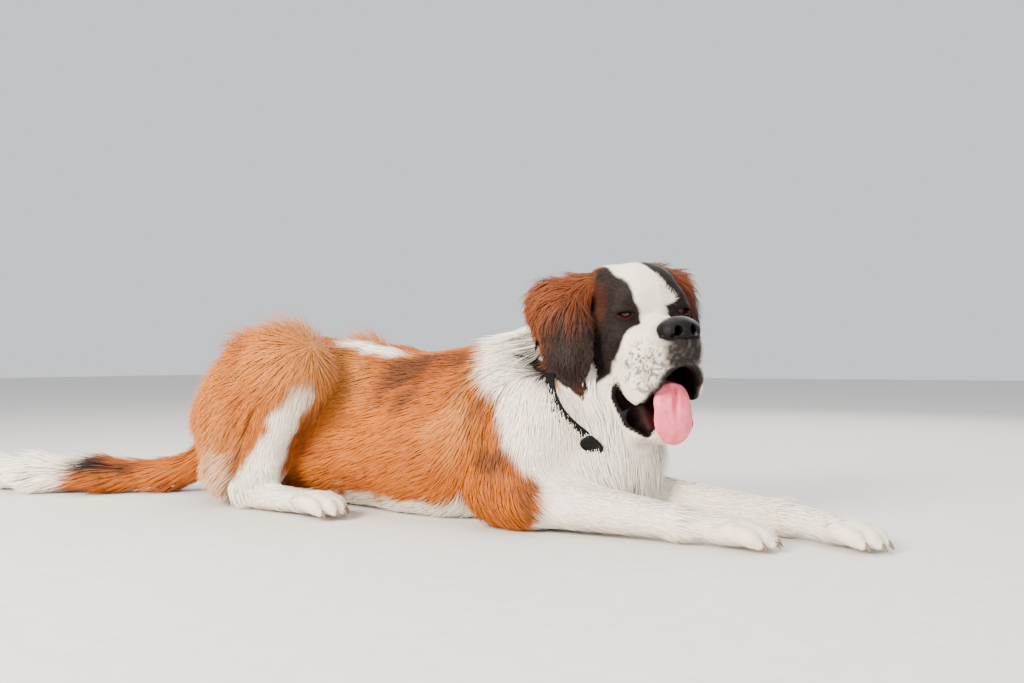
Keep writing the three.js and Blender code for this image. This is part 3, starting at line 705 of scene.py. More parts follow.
def surface_net(form: Field, low: Array, high: Array, cell: float, stride: int = 4) -> tuple[Array, Array]:
    """A mesh of four-sided faces on the zero of a field.

    Args:
        form: the field.
        low: the lowest corner of the box that is looked at.
        high: its highest corner.
        cell: the size of a cell.
        stride: cells between the points of the first, rough look.

    Returns:
        The corners and the faces.
    """
    n = (np.ceil((high - low) / cell / stride).astype(int) * stride) + 1
    axes = [low[i] + np.arange(n[i]) * cell for i in range(3)]
    rough = [axis[::stride] for axis in axes]
    grid = np.stack(np.meshgrid(*rough, indexing="ij"), -1).reshape(-1, 3).astype(np.float32)
    coarse = form(grid).reshape([len(r) for r in rough]).astype(np.float32)
    pick = [np.clip(np.rint(np.arange(n[i]) / stride).astype(int), 0, len(rough[i]) - 1) for i in range(3)]
    values = coarse[np.ix_(*pick)]
    i, j, k = np.nonzero(np.abs(values) < stride * cell * 1.7)
    points = np.stack([axes[0][i], axes[1][j], axes[2][k]], -1).astype(np.float32)
    for at in range(0, len(points), 400000):
        part = slice(at, at + 400000)
        values[i[part], j[part], k[part]] = form(points[part])
    inside = values < 0
    corners = [(a, b, c) for a in (0, 1) for b in (0, 1) for c in (0, 1)]
    cut = tuple(slice(0, m - 1) for m in n)
    shifted = {c: tuple(slice(c[e], n[e] - 1 + c[e]) for e in range(3)) for c in corners}
    count = sum(inside[shifted[c]].astype(np.int8) for c in corners)
    cells = np.nonzero((count > 0) & (count < 8))
    total = np.zeros((len(cells[0]), 3))
    hits = np.zeros(len(cells[0]))
    for c in corners:
        for axis in range(3):
            if c[axis]:
                continue
            e = tuple(c[m] + (m == axis) for m in range(3))
            va = values[tuple(cells[m] + c[m] for m in range(3))]
            vb = values[tuple(cells[m] + e[m] for m in range(3))]
            crosses = (va < 0) != (vb < 0)
            t = np.where(crosses, va / np.where(crosses, va - vb, 1), 0)
            at = np.array(c, float) + np.eye(3)[axis] * t[:, None]
            total += at * crosses[:, None]
            hits += crosses
    verts = (np.stack(cells, -1) + total / hits[:, None]) * cell + low
    index = -np.ones(tuple(m - 1 for m in n), np.int64)
    index[cells] = np.arange(len(verts))
    faces = []
    for axis in range(3):
        u, v = [m for m in range(3) if m != axis]
        start = [slice(1, m - 1) for m in n]
        start[axis] = slice(0, n[axis] - 1)
        end = list(start)
        end[axis] = slice(1, n[axis])
        a, b = inside[tuple(start)], inside[tuple(end)]
        where = np.nonzero(a != b)
        first = [w + (0 if m == axis else 1) for m, w in enumerate(where)]
        ring = []
        for du, dv in ((-1, -1), (0, -1), (0, 0), (-1, 0)):
            at = list(first)
            at[u] = at[u] + du
            at[v] = at[v] + dv
            ring.append(index[tuple(at)])
        quad = np.stack(ring, -1)
        flip = a[where] != (axis == 1)
        quad[~flip] = quad[~flip][:, ::-1]
        faces.append(quad)
    return verts, np.concatenate(faces)


def settle(form: Field, verts: Array, turns: int = 2, most: float = 2.0) -> Array:
    """Moves corners onto the zero of a field.

    Args:
        form: the field.
        verts: the corners.
        turns: how often they are moved.
        most: the furthest that they move each time.

    Returns:
        The moved corners.
    """
    p = verts.astype(np.float32)
    for _ in range(turns):
        step = np.clip(form(p), -most, most)
        p = p - slope_of(form, p) * step[:, None]
    return p


def mesh_object(name: str, verts: Array, faces: Array) -> bpy.types.Object:
    """An object from arrays of corners, in mm, and of faces with as many corners each.

    Args:
        name: its name.
        verts: its corners.
        faces: the corners' numbers, one row for each face.

    Returns:
        The object.
    """
    mesh = bpy.data.meshes.new(name)
    sides = faces.shape[1]
    mesh.vertices.add(len(verts))
    mesh.vertices.foreach_set("co", (verts * MM).astype(np.float32).ravel())
    mesh.loops.add(faces.size)
    mesh.loops.foreach_set("vertex_index", faces.astype(np.int32).ravel())
    mesh.polygons.add(len(faces))
    mesh.polygons.foreach_set("loop_start", np.arange(0, faces.size, sides, dtype=np.int32))
    mesh.polygons.foreach_set("use_smooth", np.ones(len(faces), bool))
    mesh.update(calc_edges=True)
    made = bpy.data.objects.new(name, mesh)
    bpy.context.scene.collection.objects.link(made)
    return made


def tube(rings: int, turns: int, start: int = 0, closed: bool = False) -> list[tuple[int, int, int, int]]:
    """The faces between rings of corners.

    Args:
        rings: how many rings there are.
        turns: the corners of each ring.
        start: the number of the first corner.
        closed: whether the last ring joins the first one.

    Returns:
        The corners of each face.
    """
    faces = []
    for i in range(rings if closed else rings - 1):
        a, b = start + i * turns, start + (i + 1) % rings * turns
        faces += [(a + j, a + (j + 1) % turns, b + (j + 1) % turns, b + j) for j in range(turns)]
    return faces


def paint(obj: bpy.types.Object, name: str, colours: Array) -> None:
    """Keeps a colour for each corner of a mesh, with three or four numbers each.

    Args:
        obj: the object.
        name: the name that materials read.
        colours: one row for each corner.
    """
    if colours.shape[1] == 3:
        colours = np.concatenate([colours, np.ones((len(colours), 1))], 1)
    layer = obj.data.color_attributes.new(name, "FLOAT_COLOR", "POINT")
    layer.data.foreach_set("color", colours.astype(np.float32).ravel())


def tint(red: int, green: int, blue: int) -> Array:
    """A screen colour as the renderer's linear numbers."""
    c = np.array([red, green, blue]) / 255.0
    return np.where(c <= 0.04045, c / 12.92, ((c + 0.055) / 1.055) ** 2.4)


class Tone:
    """The colours of the coat and of the bare skin."""

    WHITE = tint(250, 239, 222)
    CREAM = tint(226, 200, 168)
    RUST = tint(160, 80, 10)
    PEACH = tint(210, 142, 72)
    BROWN = tint(84, 44, 18)
    CHESTNUT = tint(128, 62, 20)
    BLACK = tint(24, 17, 16)
    GREY = tint(92, 84, 84)
    LIP = tint(10, 7, 8)
    GUM = tint(44, 12, 14)
    HAW = tint(60, 25, 23)


@dataclass(frozen=True)
class Mark:
    """A patch of colour.

    Attributes:
        form: the field of the patch, in the body's frame.
        colour: its colour.
        amount: how much it covers, up to 1.
        soft: how wide its edge is, in mm.
        ragged: how far noise moves its edge, in mm.
    """

    form: Field
    colour: Array
    amount: float = 1.0
    soft: float = 6.0
    ragged: float = 8.0


class Markings:
    """The pattern of the coat, the same for the skin and for the hair."""

    BORDER_Z = (0, 16, 46, 80, 120, 162, 200, 232, 267, 323, 400)
    BORDER_X = (150, 150, 172, 168, 122, 86, 80, 74, 14, -20, -70)
    CHEEK_X = (-130, -80, -49, -20, 6, 16, 22)
    CHEEK_Z = (-190, -150, -118, -84, -58, -17, 70)
    BLAZE_Z = (-20, -4, 16, 45, 74, 100)
    BLAZE_MIDDLE = (-4, -7, -16.5, -13.5, -27, -30)
    BLAZE_HALF = (30, 25, 25.5, 32, 24, 24)

    def __init__(self) -> None:
        """Sets up the patches, those of the body first and then those of the head."""
        white, brown, rust = Tone.WHITE, Tone.BROWN, Tone.RUST
        black = Tone.BLACK
        self.body = [
            Mark(ball((-350, -178, 292), (110, 90, 80)), Tone.PEACH, 0.75, 70, 16),
            Mark(ball((-400, 168, 272), (110, 90, 80)), Tone.PEACH, 0.75, 70, 16),
            Mark(ball((-560, -150, 170), (120, 80, 150)), Tone.PEACH, 0.4, 60, 24),
            Mark(ball((-165, -100, 285), (70, 74, 56)), brown, 0.95, 26, 46),
            Mark(ball((-175, 90, 285), (80, 70, 50)), brown, 0.9, 26, 46),
            Mark(ball((-150, -150, 236), (34, 30, 26)), brown, 0.75, 16, 18),
            Mark(limb((-77, -54, 324), (46, -172, 200), 18, 24), brown, 0.85, 20, 40),
            Mark(limb((-77, 54, 324), (52, 168, 200), 18, 24), brown, 0.85, 20, 40),
            Mark(ball((66, -190, 128), (40, 40, 22)), brown, 0.85, 16, 22),
            Mark(ball((150, -192, 66), (18, 30, 34)), brown, 0.7, 18, 20),
            Mark(ball((-30, -170, 190), (30, 50, 90)), Tone.PEACH, 0.4, 30, 34),
            Mark(ball((-560, -150, 60), (60, 70, 60)), Tone.CREAM, 0.6, 34, 40),
            Mark(ball((-500, -200, 60), (16, 40, 44)), brown, 0.6, 14, 16),
            Mark(limb((-338, -34, 344), (-208, -56, 320), 25, 15), white, 1, 8, 12),
            Mark(self.belly, white, 1, 10, 14),
            Mark(self.front, white, 1, 9, 12),
            Mark(self.hind_white, white, 1, 8, 9),
            Mark(limb((-880, -160, 74), (-1000, -192, 76), 27, 30), black, 1, 9, 12),
            Mark(lambda p: p[:, 0] + 1020 - 0.3 * (p[:, 2] - 40), white, 1, 12, 18),
            Mark(limb((66, -62, 346), (112, -112, 306), 26, 30), black, 1, 9, 10),
            Mark(limb((112, -112, 306), (150, -140, 272), 30, 20), black, 1, 9, 10),
            Mark(limb((160, -112, 300), (182, -140, 262), 15, 13), Tone.PEACH * 0.8, 0.95, 7, 8),
            Mark(limb((66, 66, 346), (146, 116, 296), 28, 30), black, 1, 9, 12),
        ]
        self.head = [
            Mark(lambda q: np.maximum(46 - q[:, 2], q[:, 0] + 84), Tone.CHESTNUT, 0.85, 16, 12),
            Mark(self.temples, Tone.CHESTNUT * 0.6, 0.25, 16, 10),
            Mark(self.cheek_white, white, 1, 5, 5),
            Mark(self.blaze, white, 1, 3, 3),
            Mark(grow(NOSE_SHAPE, 7), Tone.GREY, 0.85, 14, 6),
        ]

    @staticmethod
    def belly(p: Array) -> Array:
        """Under the belly."""
        return np.where((p[:, 0] < 20) & (p[:, 0] > -440), p[:, 2] - 30, 50)

    @staticmethod
    def front(p: Array) -> Array:
        """The chest, the neck and the forelegs, ahead of a slanting line."""
        return (np.interp(p[:, 2], Markings.BORDER_Z, Markings.BORDER_X) - p[:, 0]) * 0.75

    @staticmethod
    def hind_white(p: Array) -> Array:
        """The hind feet and a strip up the front of each lower leg.

        Args:
            p: points in the body's frame.

        Returns:
            One distance for each point.
        """
        d = np.full(len(p), 1e3)
        for leg in HIND:
            h, t, k, s = leg.heel, leg.toes, leg.knee, leg.side
            strip = blend(
                8,
                limb((k[0] + 54, s * 214, 240), (h[0] + 96, s * 206, 120), 25, 32),
                limb((h[0] + 96, s * 206, 120), (h[0] + 40, s * 204, 44), 32, 38),
                limb((h[0] + 10, h[1], 20), (t[0], t[1], 20), 46, 70),
            )
            d = np.minimum(d, strip(p))
        return d

    @staticmethod
    def temples(q: Array) -> Array:
        """The hair between each eye and its ear."""
        return np.minimum(*(ball((-68, s * 84, 6), (36, 24, 52))(q) for s in SIDES))

    @staticmethod
    def cheek_white(q: Array) -> Array:
        """The muzzle and the front of the cheeks."""
        return (q[:, 2] - np.interp(q[:, 0], Markings.CHEEK_X, Markings.CHEEK_Z)) * 0.6

    @staticmethod
    def blaze(q: Array) -> Array:
        """The stripe between the eyes and up the forehead.

        Args:
            q: points in the head's frame.

        Returns:
            One distance for each point.
        """
        middle = np.interp(q[:, 2], Markings.BLAZE_Z, Markings.BLAZE_MIDDLE)
        half = np.interp(q[:, 2], Markings.BLAZE_Z, Markings.BLAZE_HALF)
        back = -118 - q[:, 0]
        return np.maximum(np.abs(q[:, 1] - middle) - half, back)

    @staticmethod
    def lay(colour: Array, p: Array, mark: Mark, seed: int, at: Array) -> None:
        """Lays one mark over the colours.

        Args:
            colour: the colours, which are changed.
            p: the points in the frame of the mark.
            mark: the patch.
            seed: picks the pattern of its edge.
            at: the same points in the body's frame, for the noise.
        """
        wide, fine = noise(at, 26, seed) - 0.5, noise(at, 9, seed + 50) - 0.5
        d = mark.form(p) + wide * 2 * mark.ragged + fine * mark.ragged
        share = (1 - smooth(d, -mark.soft, mark.soft)) * mark.amount
        colour += (mark.colour - colour) * share[:, None]

    def __call__(self, p: Array, place: Array) -> Array:
        """The colour of the coat.

        Args:
            p: points in the body's frame.
            place: the number of each point's place.

        Returns:
            A linear colour for each point.
        """
        n = len(p)
        colour = np.tile(Tone.RUST, (n, 1))
        streak = noise(p * [0.3, 1, 1.2], 11, 3)
        fine = noise(p * [0.3, 1, 1], 5, 8)
        wide = noise(p, 70, 4)
        shade = (0.46 + 0.5 * streak + 0.28 * fine + 0.46 * wide)[:, None]
        colour = colour * (0.35 + 0.65 * shade) * np.concatenate([shade**0.2, shade**0.6, shade], 1)
        for seed, mark in enumerate(self.body):
            self.lay(colour, p, mark, seed + 10, p)
        headed = place >= Place.SKULL.value
        if headed.any():
            q = to_head(p[headed])
            at = p[headed]
            c = Tone.BLACK * (0.5 + noise(at, 7, 60) + 0.5 * noise(at, 30, 61))[:, None]
            for seed, mark in enumerate(self.head):
                self.lay(c, q, mark, seed + 40, at)
            self.tick(c, q, at)
            ear = place[headed] == Place.EARS.value
            c[ear] = self.ear(q[ear], at[ear])
            colour[headed] = c
        freckle = smooth(noise(p, 6, 95) + 0.7 * noise(p, 26, 96), 1.08, 1.24) * (place == Place.FORELEGS.value) * 0.35
        colour += (Tone.PEACH - colour) * (freckle * (p[:, 0] > 190))[:, None]
        return np.clip(colour, 0.004, 0.95)

    @staticmethod
    def tick(colour: Array, q: Array, at: Array) -> None:
        """Small dark specks on the flews and brown ones at the corner of the mouth.

        Args:
            colour: the colours, which are changed.
            q: points in the head's frame.
            at: the same points in the body's frame, for the noise.
        """
        tip = ball((96, 0, -76), (30, 36, 42))(q)
        many = 1 - smooth(tip, 2, 48)
        speck = smooth(noise(at, 3.2, 70) + 0.6 * noise(at, 13, 71) + 0.16 * many, 0.84, 1.06)
        flew = ball((44, 0, -100), (70, 88, 62))(q)
        share = np.maximum(speck * 0.85, 0.4 * many) * (1 - smooth(flew, -10, 10))
        front = 1 - smooth(tip + 8 * (noise(at, 6, 73) - 0.5), -8, 16)
        edge = 1 - smooth(PALATE(q), 9, 18)
        patchy = smooth(noise(at, 5, 72), 0.1, 0.5)
        share = np.maximum(share, np.maximum(front, edge * (q[:, 0] > 20)) * (0.94 + 0.05 * patchy))
        dark = Tone.GREY * (0.3 - 0.18 * np.maximum(front, edge))[:, None]
        colour += (dark - colour) * share[:, None]
        corner = (1 - smooth(ball((-36, 0, -126), (26, 96, 20))(q), -8, 8)) * speck * 0.7
        colour += (Tone.CHESTNUT - colour) * corner[:, None]

    @staticmethod
    def ear(q: Array, at: Array) -> Array:
        """An ear: rust above, nearly black below and towards the face, with a thin rust rim.

        Args:
            q: points in the head's frame.
            at: the same points in the body's frame, for the noise.

        Returns:
            One colour for each point.
        """
        strand = noise(at * [1, 1, 0.3], 6, 84) - 0.5
        high = q[:, 2] + 50 * (noise(at, 24, 80) - 0.5) + 70 * strand - 30 * smooth(q[:, 0], -80, -45)
        back = smooth(-q[:, 0] + (noise(at, 16, 81) - 0.5) * 30, 80, 120)
        low = (1 - smooth(high + 34 * back, -72, 34)) * (1 - 0.3 * back)
        streak = 0.3 + 0.75 * noise(at * [1, 1, 0.35], 7, 82) + 0.35 * noise(at, 30, 83)
        colour = (Tone.CHESTNUT * 0.75 + Tone.BROWN * 0.2) * streak[:, None]
        dark = Tone.BLACK * 0.8 + Tone.BROWN * 0.07
        colour += (dark - colour) * low[:, None]
        for ear in EARS:
            spot = q - np.array(ear.flap)
            edge = np.hypot(spot @ unit(np.array(ear.aim)) / 56, spot[:, 2] / 88)
            rim = smooth(edge, 0.9, 1.02) * smooth(-q[:, 2], -20, 30) * (q[:, 1] * ear.side > 0) * 0.18
            colour += (Tone.CHESTNUT * 0.8 - colour) * rim[:, None]
        return colour


@dataclass(frozen=True)
class Zone:
    """A ball in which the skin is meshed with cells of one size, in mm."""

    centre: Point
    radius: float
    cell: float

    def distance(self, p: Array) -> Array:
        """The distance to the ball's surface."""
        return np.linalg.norm(p - np.array(self.centre), axis=1) - self.radius


@dataclass
class Skin:
    """One skin over the whole animal, finest on the face and on the feet."""

    flesh: Flesh
    markings: Markings
    low: Point = (-1370, -300, -4)
    high: Point = (760, 290, 520)
    cell: float = 6.0
    lip_band: tuple[float, float] = (5.8, 7.0)
    gum_band: tuple[float, float] = (0.2, 2.0)
    leather_band: tuple[float, float] = (1.0, 3.5)
    lid_band: tuple[float, float] = (2.2, 4.5)
    haw_band: tuple[float, float] = (0.4, 1.6)
    verts: Array = field(default_factory=lambda: np.zeros((0, 3)))
    faces: Array = field(default_factory=lambda: np.zeros((0, 4), int))
    normals: Array = field(default_factory=lambda: np.zeros((0, 3)))

    def zones(self) -> list[Zone]:
        """The balls of finer cells, finest first.

        Returns:
            The zones.
        """
        face = from_head(np.array([[30, 0, -70]], np.float32))[0]
        head = from_head(np.array([[-50, 0, -60]], np.float32))[0]
        feet = [leg.foot().place(4, 0, -6) for leg in (*HIND, *FORE)]
        return [Zone(face, 122, 2.2), *(Zone(at, 74, 3.0) for at in feet), Zone(head, 205, 3.6)]

    def build(self) -> bpy.types.Object:
        """Meshes the skin, zone by zone, and returns its object.

        Returns:
            The object.
        """
        parts = []
        finer: list[Zone] = []
        for zone in self.zones():
            c = np.array(zone.centre, float)
            reach = zone.radius + 4 * zone.cell
            low = np.maximum(c - reach, (-9999, -9999, -4))
            parts.append(self.patch(low, c + reach, zone.cell, zone, finer))
            finer.append(zone)
        parts.append(self.patch(np.array(self.low, float), np.array(self.high, float), self.cell, None, finer))
        start = 0
        all_faces = []
        for v, f in parts:
            all_faces.append(f + start)
            start += len(v)
        self.verts = np.concatenate([v for v, f in parts]).astype(np.float32)
        self.faces = np.concatenate(all_faces)
        self.normals = slope_of(self.flesh, self.verts, 1.2)
        return mesh_object("skin", self.verts, self.faces)

    def patch(
        self, low: Array, high: Array, cell: float, zone: Optional[Zone], finer: list[Zone]
    ) -> tuple[Array, Array]:
        """The skin's mesh in one zone, a little past its edge.

        Args:
            low: the lowest corner of the zone's box.
            high: its highest corner.
            cell: the size of a cell.
            zone: the zone, or None for all the rest.
            finer: the zones that are meshed already.

        Returns:
            The corners and the faces.
        """
        verts, faces = surface_net(self.flesh, low, high, cell)
        middle = verts[faces].mean(1)
        keep = np.ones(len(faces), bool)
        if zone:
            keep &= zone.distance(middle) < 1.4 * cell
        for other in finer:
            keep &= other.distance(middle) > -1.4 * other.cell
        faces = faces[keep]
        used, back = np.unique(faces, return_inverse=True)
        return settle(self.flesh, verts[used], 2, cell * 0.6), back.reshape(faces.shape)

    def dress(self, obj: bpy.types.Object) -> None:
        """Colours the skin and gives it its finish.

        Args:
            obj: the object.
        """
        place = self.flesh.place_of(self.verts)
        colour = self.markings(self.verts, place) * 0.85
        q = to_head(self.verts)
        near = np.linalg.norm(q, axis=1) < 330
        mouth = np.minimum(PALATE(q), JAW_HOLLOW(q))
        lids = LID_SLITS(q)
        lip = (1 - smooth(np.minimum(PALATE(q), JAW_HOLLOW(q) - 1), *self.lip_band)) * near
        inner = (1 - smooth(mouth, *self.gum_band)) * (1 - 0.9 * smooth(np.abs(q[:, 1]), 16, 40)) * near
        leather = (1 - smooth(NOSE_SHAPE(q), *self.leather_band)) * near
        rim = (1 - smooth(lids, *self.lid_band)) * near
        haw = (1 - smooth(lids, *self.haw_band)) * smooth(-q[:, 2], 4, 6) * near
        for share, tone in ((lip, Tone.LIP), (leather, Tone.LIP), (inner, Tone.GUM), (rim, Tone.LIP), (haw, Tone.HAW)):
            colour += (tone - colour) * share[:, None]
        wet = np.maximum.reduce([lip * 0.8, inner, rim * 0.6, haw])
        paint(obj, "coat", np.concatenate([colour, wet[:, None]], 1))
        SkinFinish().dress(obj)


def material(name: str) -> tuple[bpy.types.Material, bpy.types.Node, bpy.types.NodeTree]:
    """A new material, its main shader and its node tree.

    Args:
        name: its name.

    Returns:
        The three of them.
    """
    made = bpy.data.materials.new(name)
    made.use_nodes = True
    return made, made.node_tree.nodes["Principled BSDF"], made.node_tree


def add(tree: bpy.types.NodeTree, kind: str, **values: Any) -> bpy.types.Node:
    """A new node, with some of its settings.

    Args:
        tree: the node tree.
        kind: the node's type.
        values: its settings by name.

    Returns:
        The node.
    """
    node = tree.nodes.new(kind)
    for key, value in values.items():
        setattr(node, key, value)
    return node


def ramp(tree: bpy.types.NodeTree, stops: Sequence[tuple[float, Sequence[float]]]) -> bpy.types.Node:
    """A colour ramp with the given stops.

    Args:
        tree: the node tree.
        stops: the place and the colour of each stop.

    Returns:
        The node.
    """
    node = tree.nodes.new("ShaderNodeValToRGB")
    elements = node.color_ramp.elements
    while len(elements) < len(stops):
        elements.new(0.5)
    for element, (at, colour) in zip(elements, stops):
        element.position = at
        element.color = (*colour[:3], 1)
    return node


def mapped(tree: bpy.types.NodeTree, source: bpy.types.NodeSocket, low: float, high: float) -> bpy.types.NodeSocket:
    """A value between 0 and 1 moved to run from low to high.

    Args:
        tree: the node tree.
        source: where the value comes from.
        low: what 0 becomes.
        high: what 1 becomes.

    Returns:
        Where the new value comes from.
    """
    node = tree.nodes.new("ShaderNodeMapRange")
    node.inputs["To Min"].default_value = low
    node.inputs["To Max"].default_value = high
    tree.links.new(source, node.inputs["Value"])
    return node.outputs["Result"]


def noise_node(tree: bpy.types.NodeTree, scale: float, detail: float = 3.0) -> bpy.types.Node:
    """A noise texture over the object's own coordinates, in metres.

    Args:
        tree: the node tree.
        scale: blotches to a metre.
        detail: how finely they break up.

    Returns:
        The node.
    """
    place = tree.nodes.new("ShaderNodeTexCoord")
    node = tree.nodes.new("ShaderNodeTexNoise")
    node.inputs["Scale"].default_value = scale
    node.inputs["Detail"].default_value = detail
    tree.links.new(place.outputs["Object"], node.inputs["Vector"])
    return node


def bump(
    tree: bpy.types.NodeTree, shader: bpy.types.Node, height: bpy.types.NodeSocket, strength: float, far: float
) -> None:
    """Raises a surface's look by a height.

    Args:
        tree: the node tree.
        shader: the shader.
        height: where the height comes from.
        strength: how strong it is.
        far: the relief's depth, in metres.
    """
    node = tree.nodes.new("ShaderNodeBump")
    node.inputs["Strength"].default_value = strength
    node.inputs["Distance"].default_value = far
    tree.links.new(height, node.inputs["Height"])
    tree.links.new(node.outputs["Normal"], shader.inputs["Normal"])


def mottled(
    tree: bpy.types.NodeTree, colour: bpy.types.NodeSocket, by: bpy.types.NodeSocket, low: float, high: float
) -> bpy.types.NodeSocket:
    """A colour made darker and lighter by a value.

    Args:
        tree: the node tree.
        colour: where the colour comes from.
        by: where the value comes from.
        low: the share of the colour that is left at 0.
        high: its share at 1.

    Returns:
        Where the new colour comes from.
    """
    factor = mapped(tree, by, low, high)
    node = tree.nodes.new("ShaderNodeVectorMath")
    node.operation = "SCALE"
    tree.links.new(colour, node.inputs[0])
    tree.links.new(factor, node.inputs["Scale"])
    return node.outputs[0]


@dataclass(frozen=True)
class Blotched:
    """A finish in two tones, with a roughness that varies and, where it has one, a fine relief.

    Attributes:
        name: the material's name.
        tones: its dark tone and its pale one.
        scale: how many blotches there are to a metre.
        detail: how finely they break up.
        rough: the least and the most roughness.
        rough_scale: the scale of the roughness, or 0 for that of the blotches.
        bump_scale: the scale of the relief, or 0 for that of the blotches.
        specular: how strongly it mirrors.
        bumps: the strength and the depth of the relief.
    """

    name: str
    tones: tuple[Array, Array]
    scale: float
    detail: float
    rough: tuple[float, float]
    rough_scale: float = 0.0
    bump_scale: float = 0.0
    specular: float = 0.5
    bumps: Optional[tuple[float, float]] = None

    def dress(self, obj: bpy.types.Object) -> bpy.types.Node:
        """Gives an object this finish.

        Args:
            obj: the object.

        Returns:
            The material's main shader.
        """
        made, shader, tree = material(self.name)
        blotch = noise_node(tree, self.scale, self.detail).outputs["Fac"]
        tones = ramp(tree, list(zip((0.3, 0.7), self.tones)))
        tree.links.new(blotch, tones.inputs["Fac"])
        tree.links.new(tones.outputs["Color"], shader.inputs["Base Color"])
        rough = noise_node(tree, self.rough_scale).outputs["Fac"] if self.rough_scale else blotch
        tree.links.new(mapped(tree, rough, *self.rough), shader.inputs["Roughness"])
        if self.bumps:
            relief = noise_node(tree, self.bump_scale, 2).outputs["Fac"] if self.bump_scale else blotch
            bump(tree, shader, relief, *self.bumps)
        shader.inputs["Specular IOR Level"].default_value = self.specular
        obj.data.materials.append(made)
        return shader


@dataclass(frozen=True)
class SkinFinish:
    """Skin with very short hair on it, and wet lips and gums."""

    rough: float = 0.85
    wet_rough: float = 0.36

    def dress(self, obj: bpy.types.Object) -> None:
        """Gives an object this finish.

        Args:
            obj: the object.
        """
        made, shader, tree = material("short_hair_and_skin")
        colour = add(tree, "ShaderNodeAttribute", attribute_name="coat")
        fine = noise_node(tree, 900, 4)
        tone = mottled(tree, colour.outputs["Color"], fine.outputs["Fac"], 0.7, 1.3)
        tree.links.new(tone, shader.inputs["Base Color"])
        tree.links.new(mapped(tree, colour.outputs["Alpha"], self.rough, self.wet_rough), shader.inputs["Roughness"])
        bump(tree, shader, fine.outputs["Fac"], 0.5, 0.0012)
        shader.inputs["Specular IOR Level"].default_value = 0.07
        obj.data.materials.append(made)


@dataclass(frozen=True)
class HairFinish:
    """Dry, soft hair."""

    rough: float = 0.6
    sheen: float = 0.05

    def make(self) -> bpy.types.Material:
        """The material of every coat piece.

        Returns:
            The material.
        """
        made, shader, tree = material("soft_hair")
        colour = add(tree, "ShaderNodeAttribute", attribute_name="coat")
        fine = noise_node(tree, 260, 2)
        tone = mottled(tree, colour.outputs["Color"], fine.outputs["Fac"], 0.8, 1.2)
        tree.links.new(tone, shader.inputs["Base Color"])
        rough = mapped(tree, fine.outputs["Fac"], self.rough - 0.12, self.rough + 0.14)
        tree.links.new(rough, shader.inputs["Roughness"])
        bump(tree, shader, noise_node(tree, 2200, 2).outputs["Fac"], 0.2, 0.0004)
        shader.inputs["Specular IOR Level"].default_value = 0.2
        shader.inputs["Sheen Weight"].default_value = self.sheen
        shader.inputs["Sheen Roughness"].default_value = 0.5
        return made


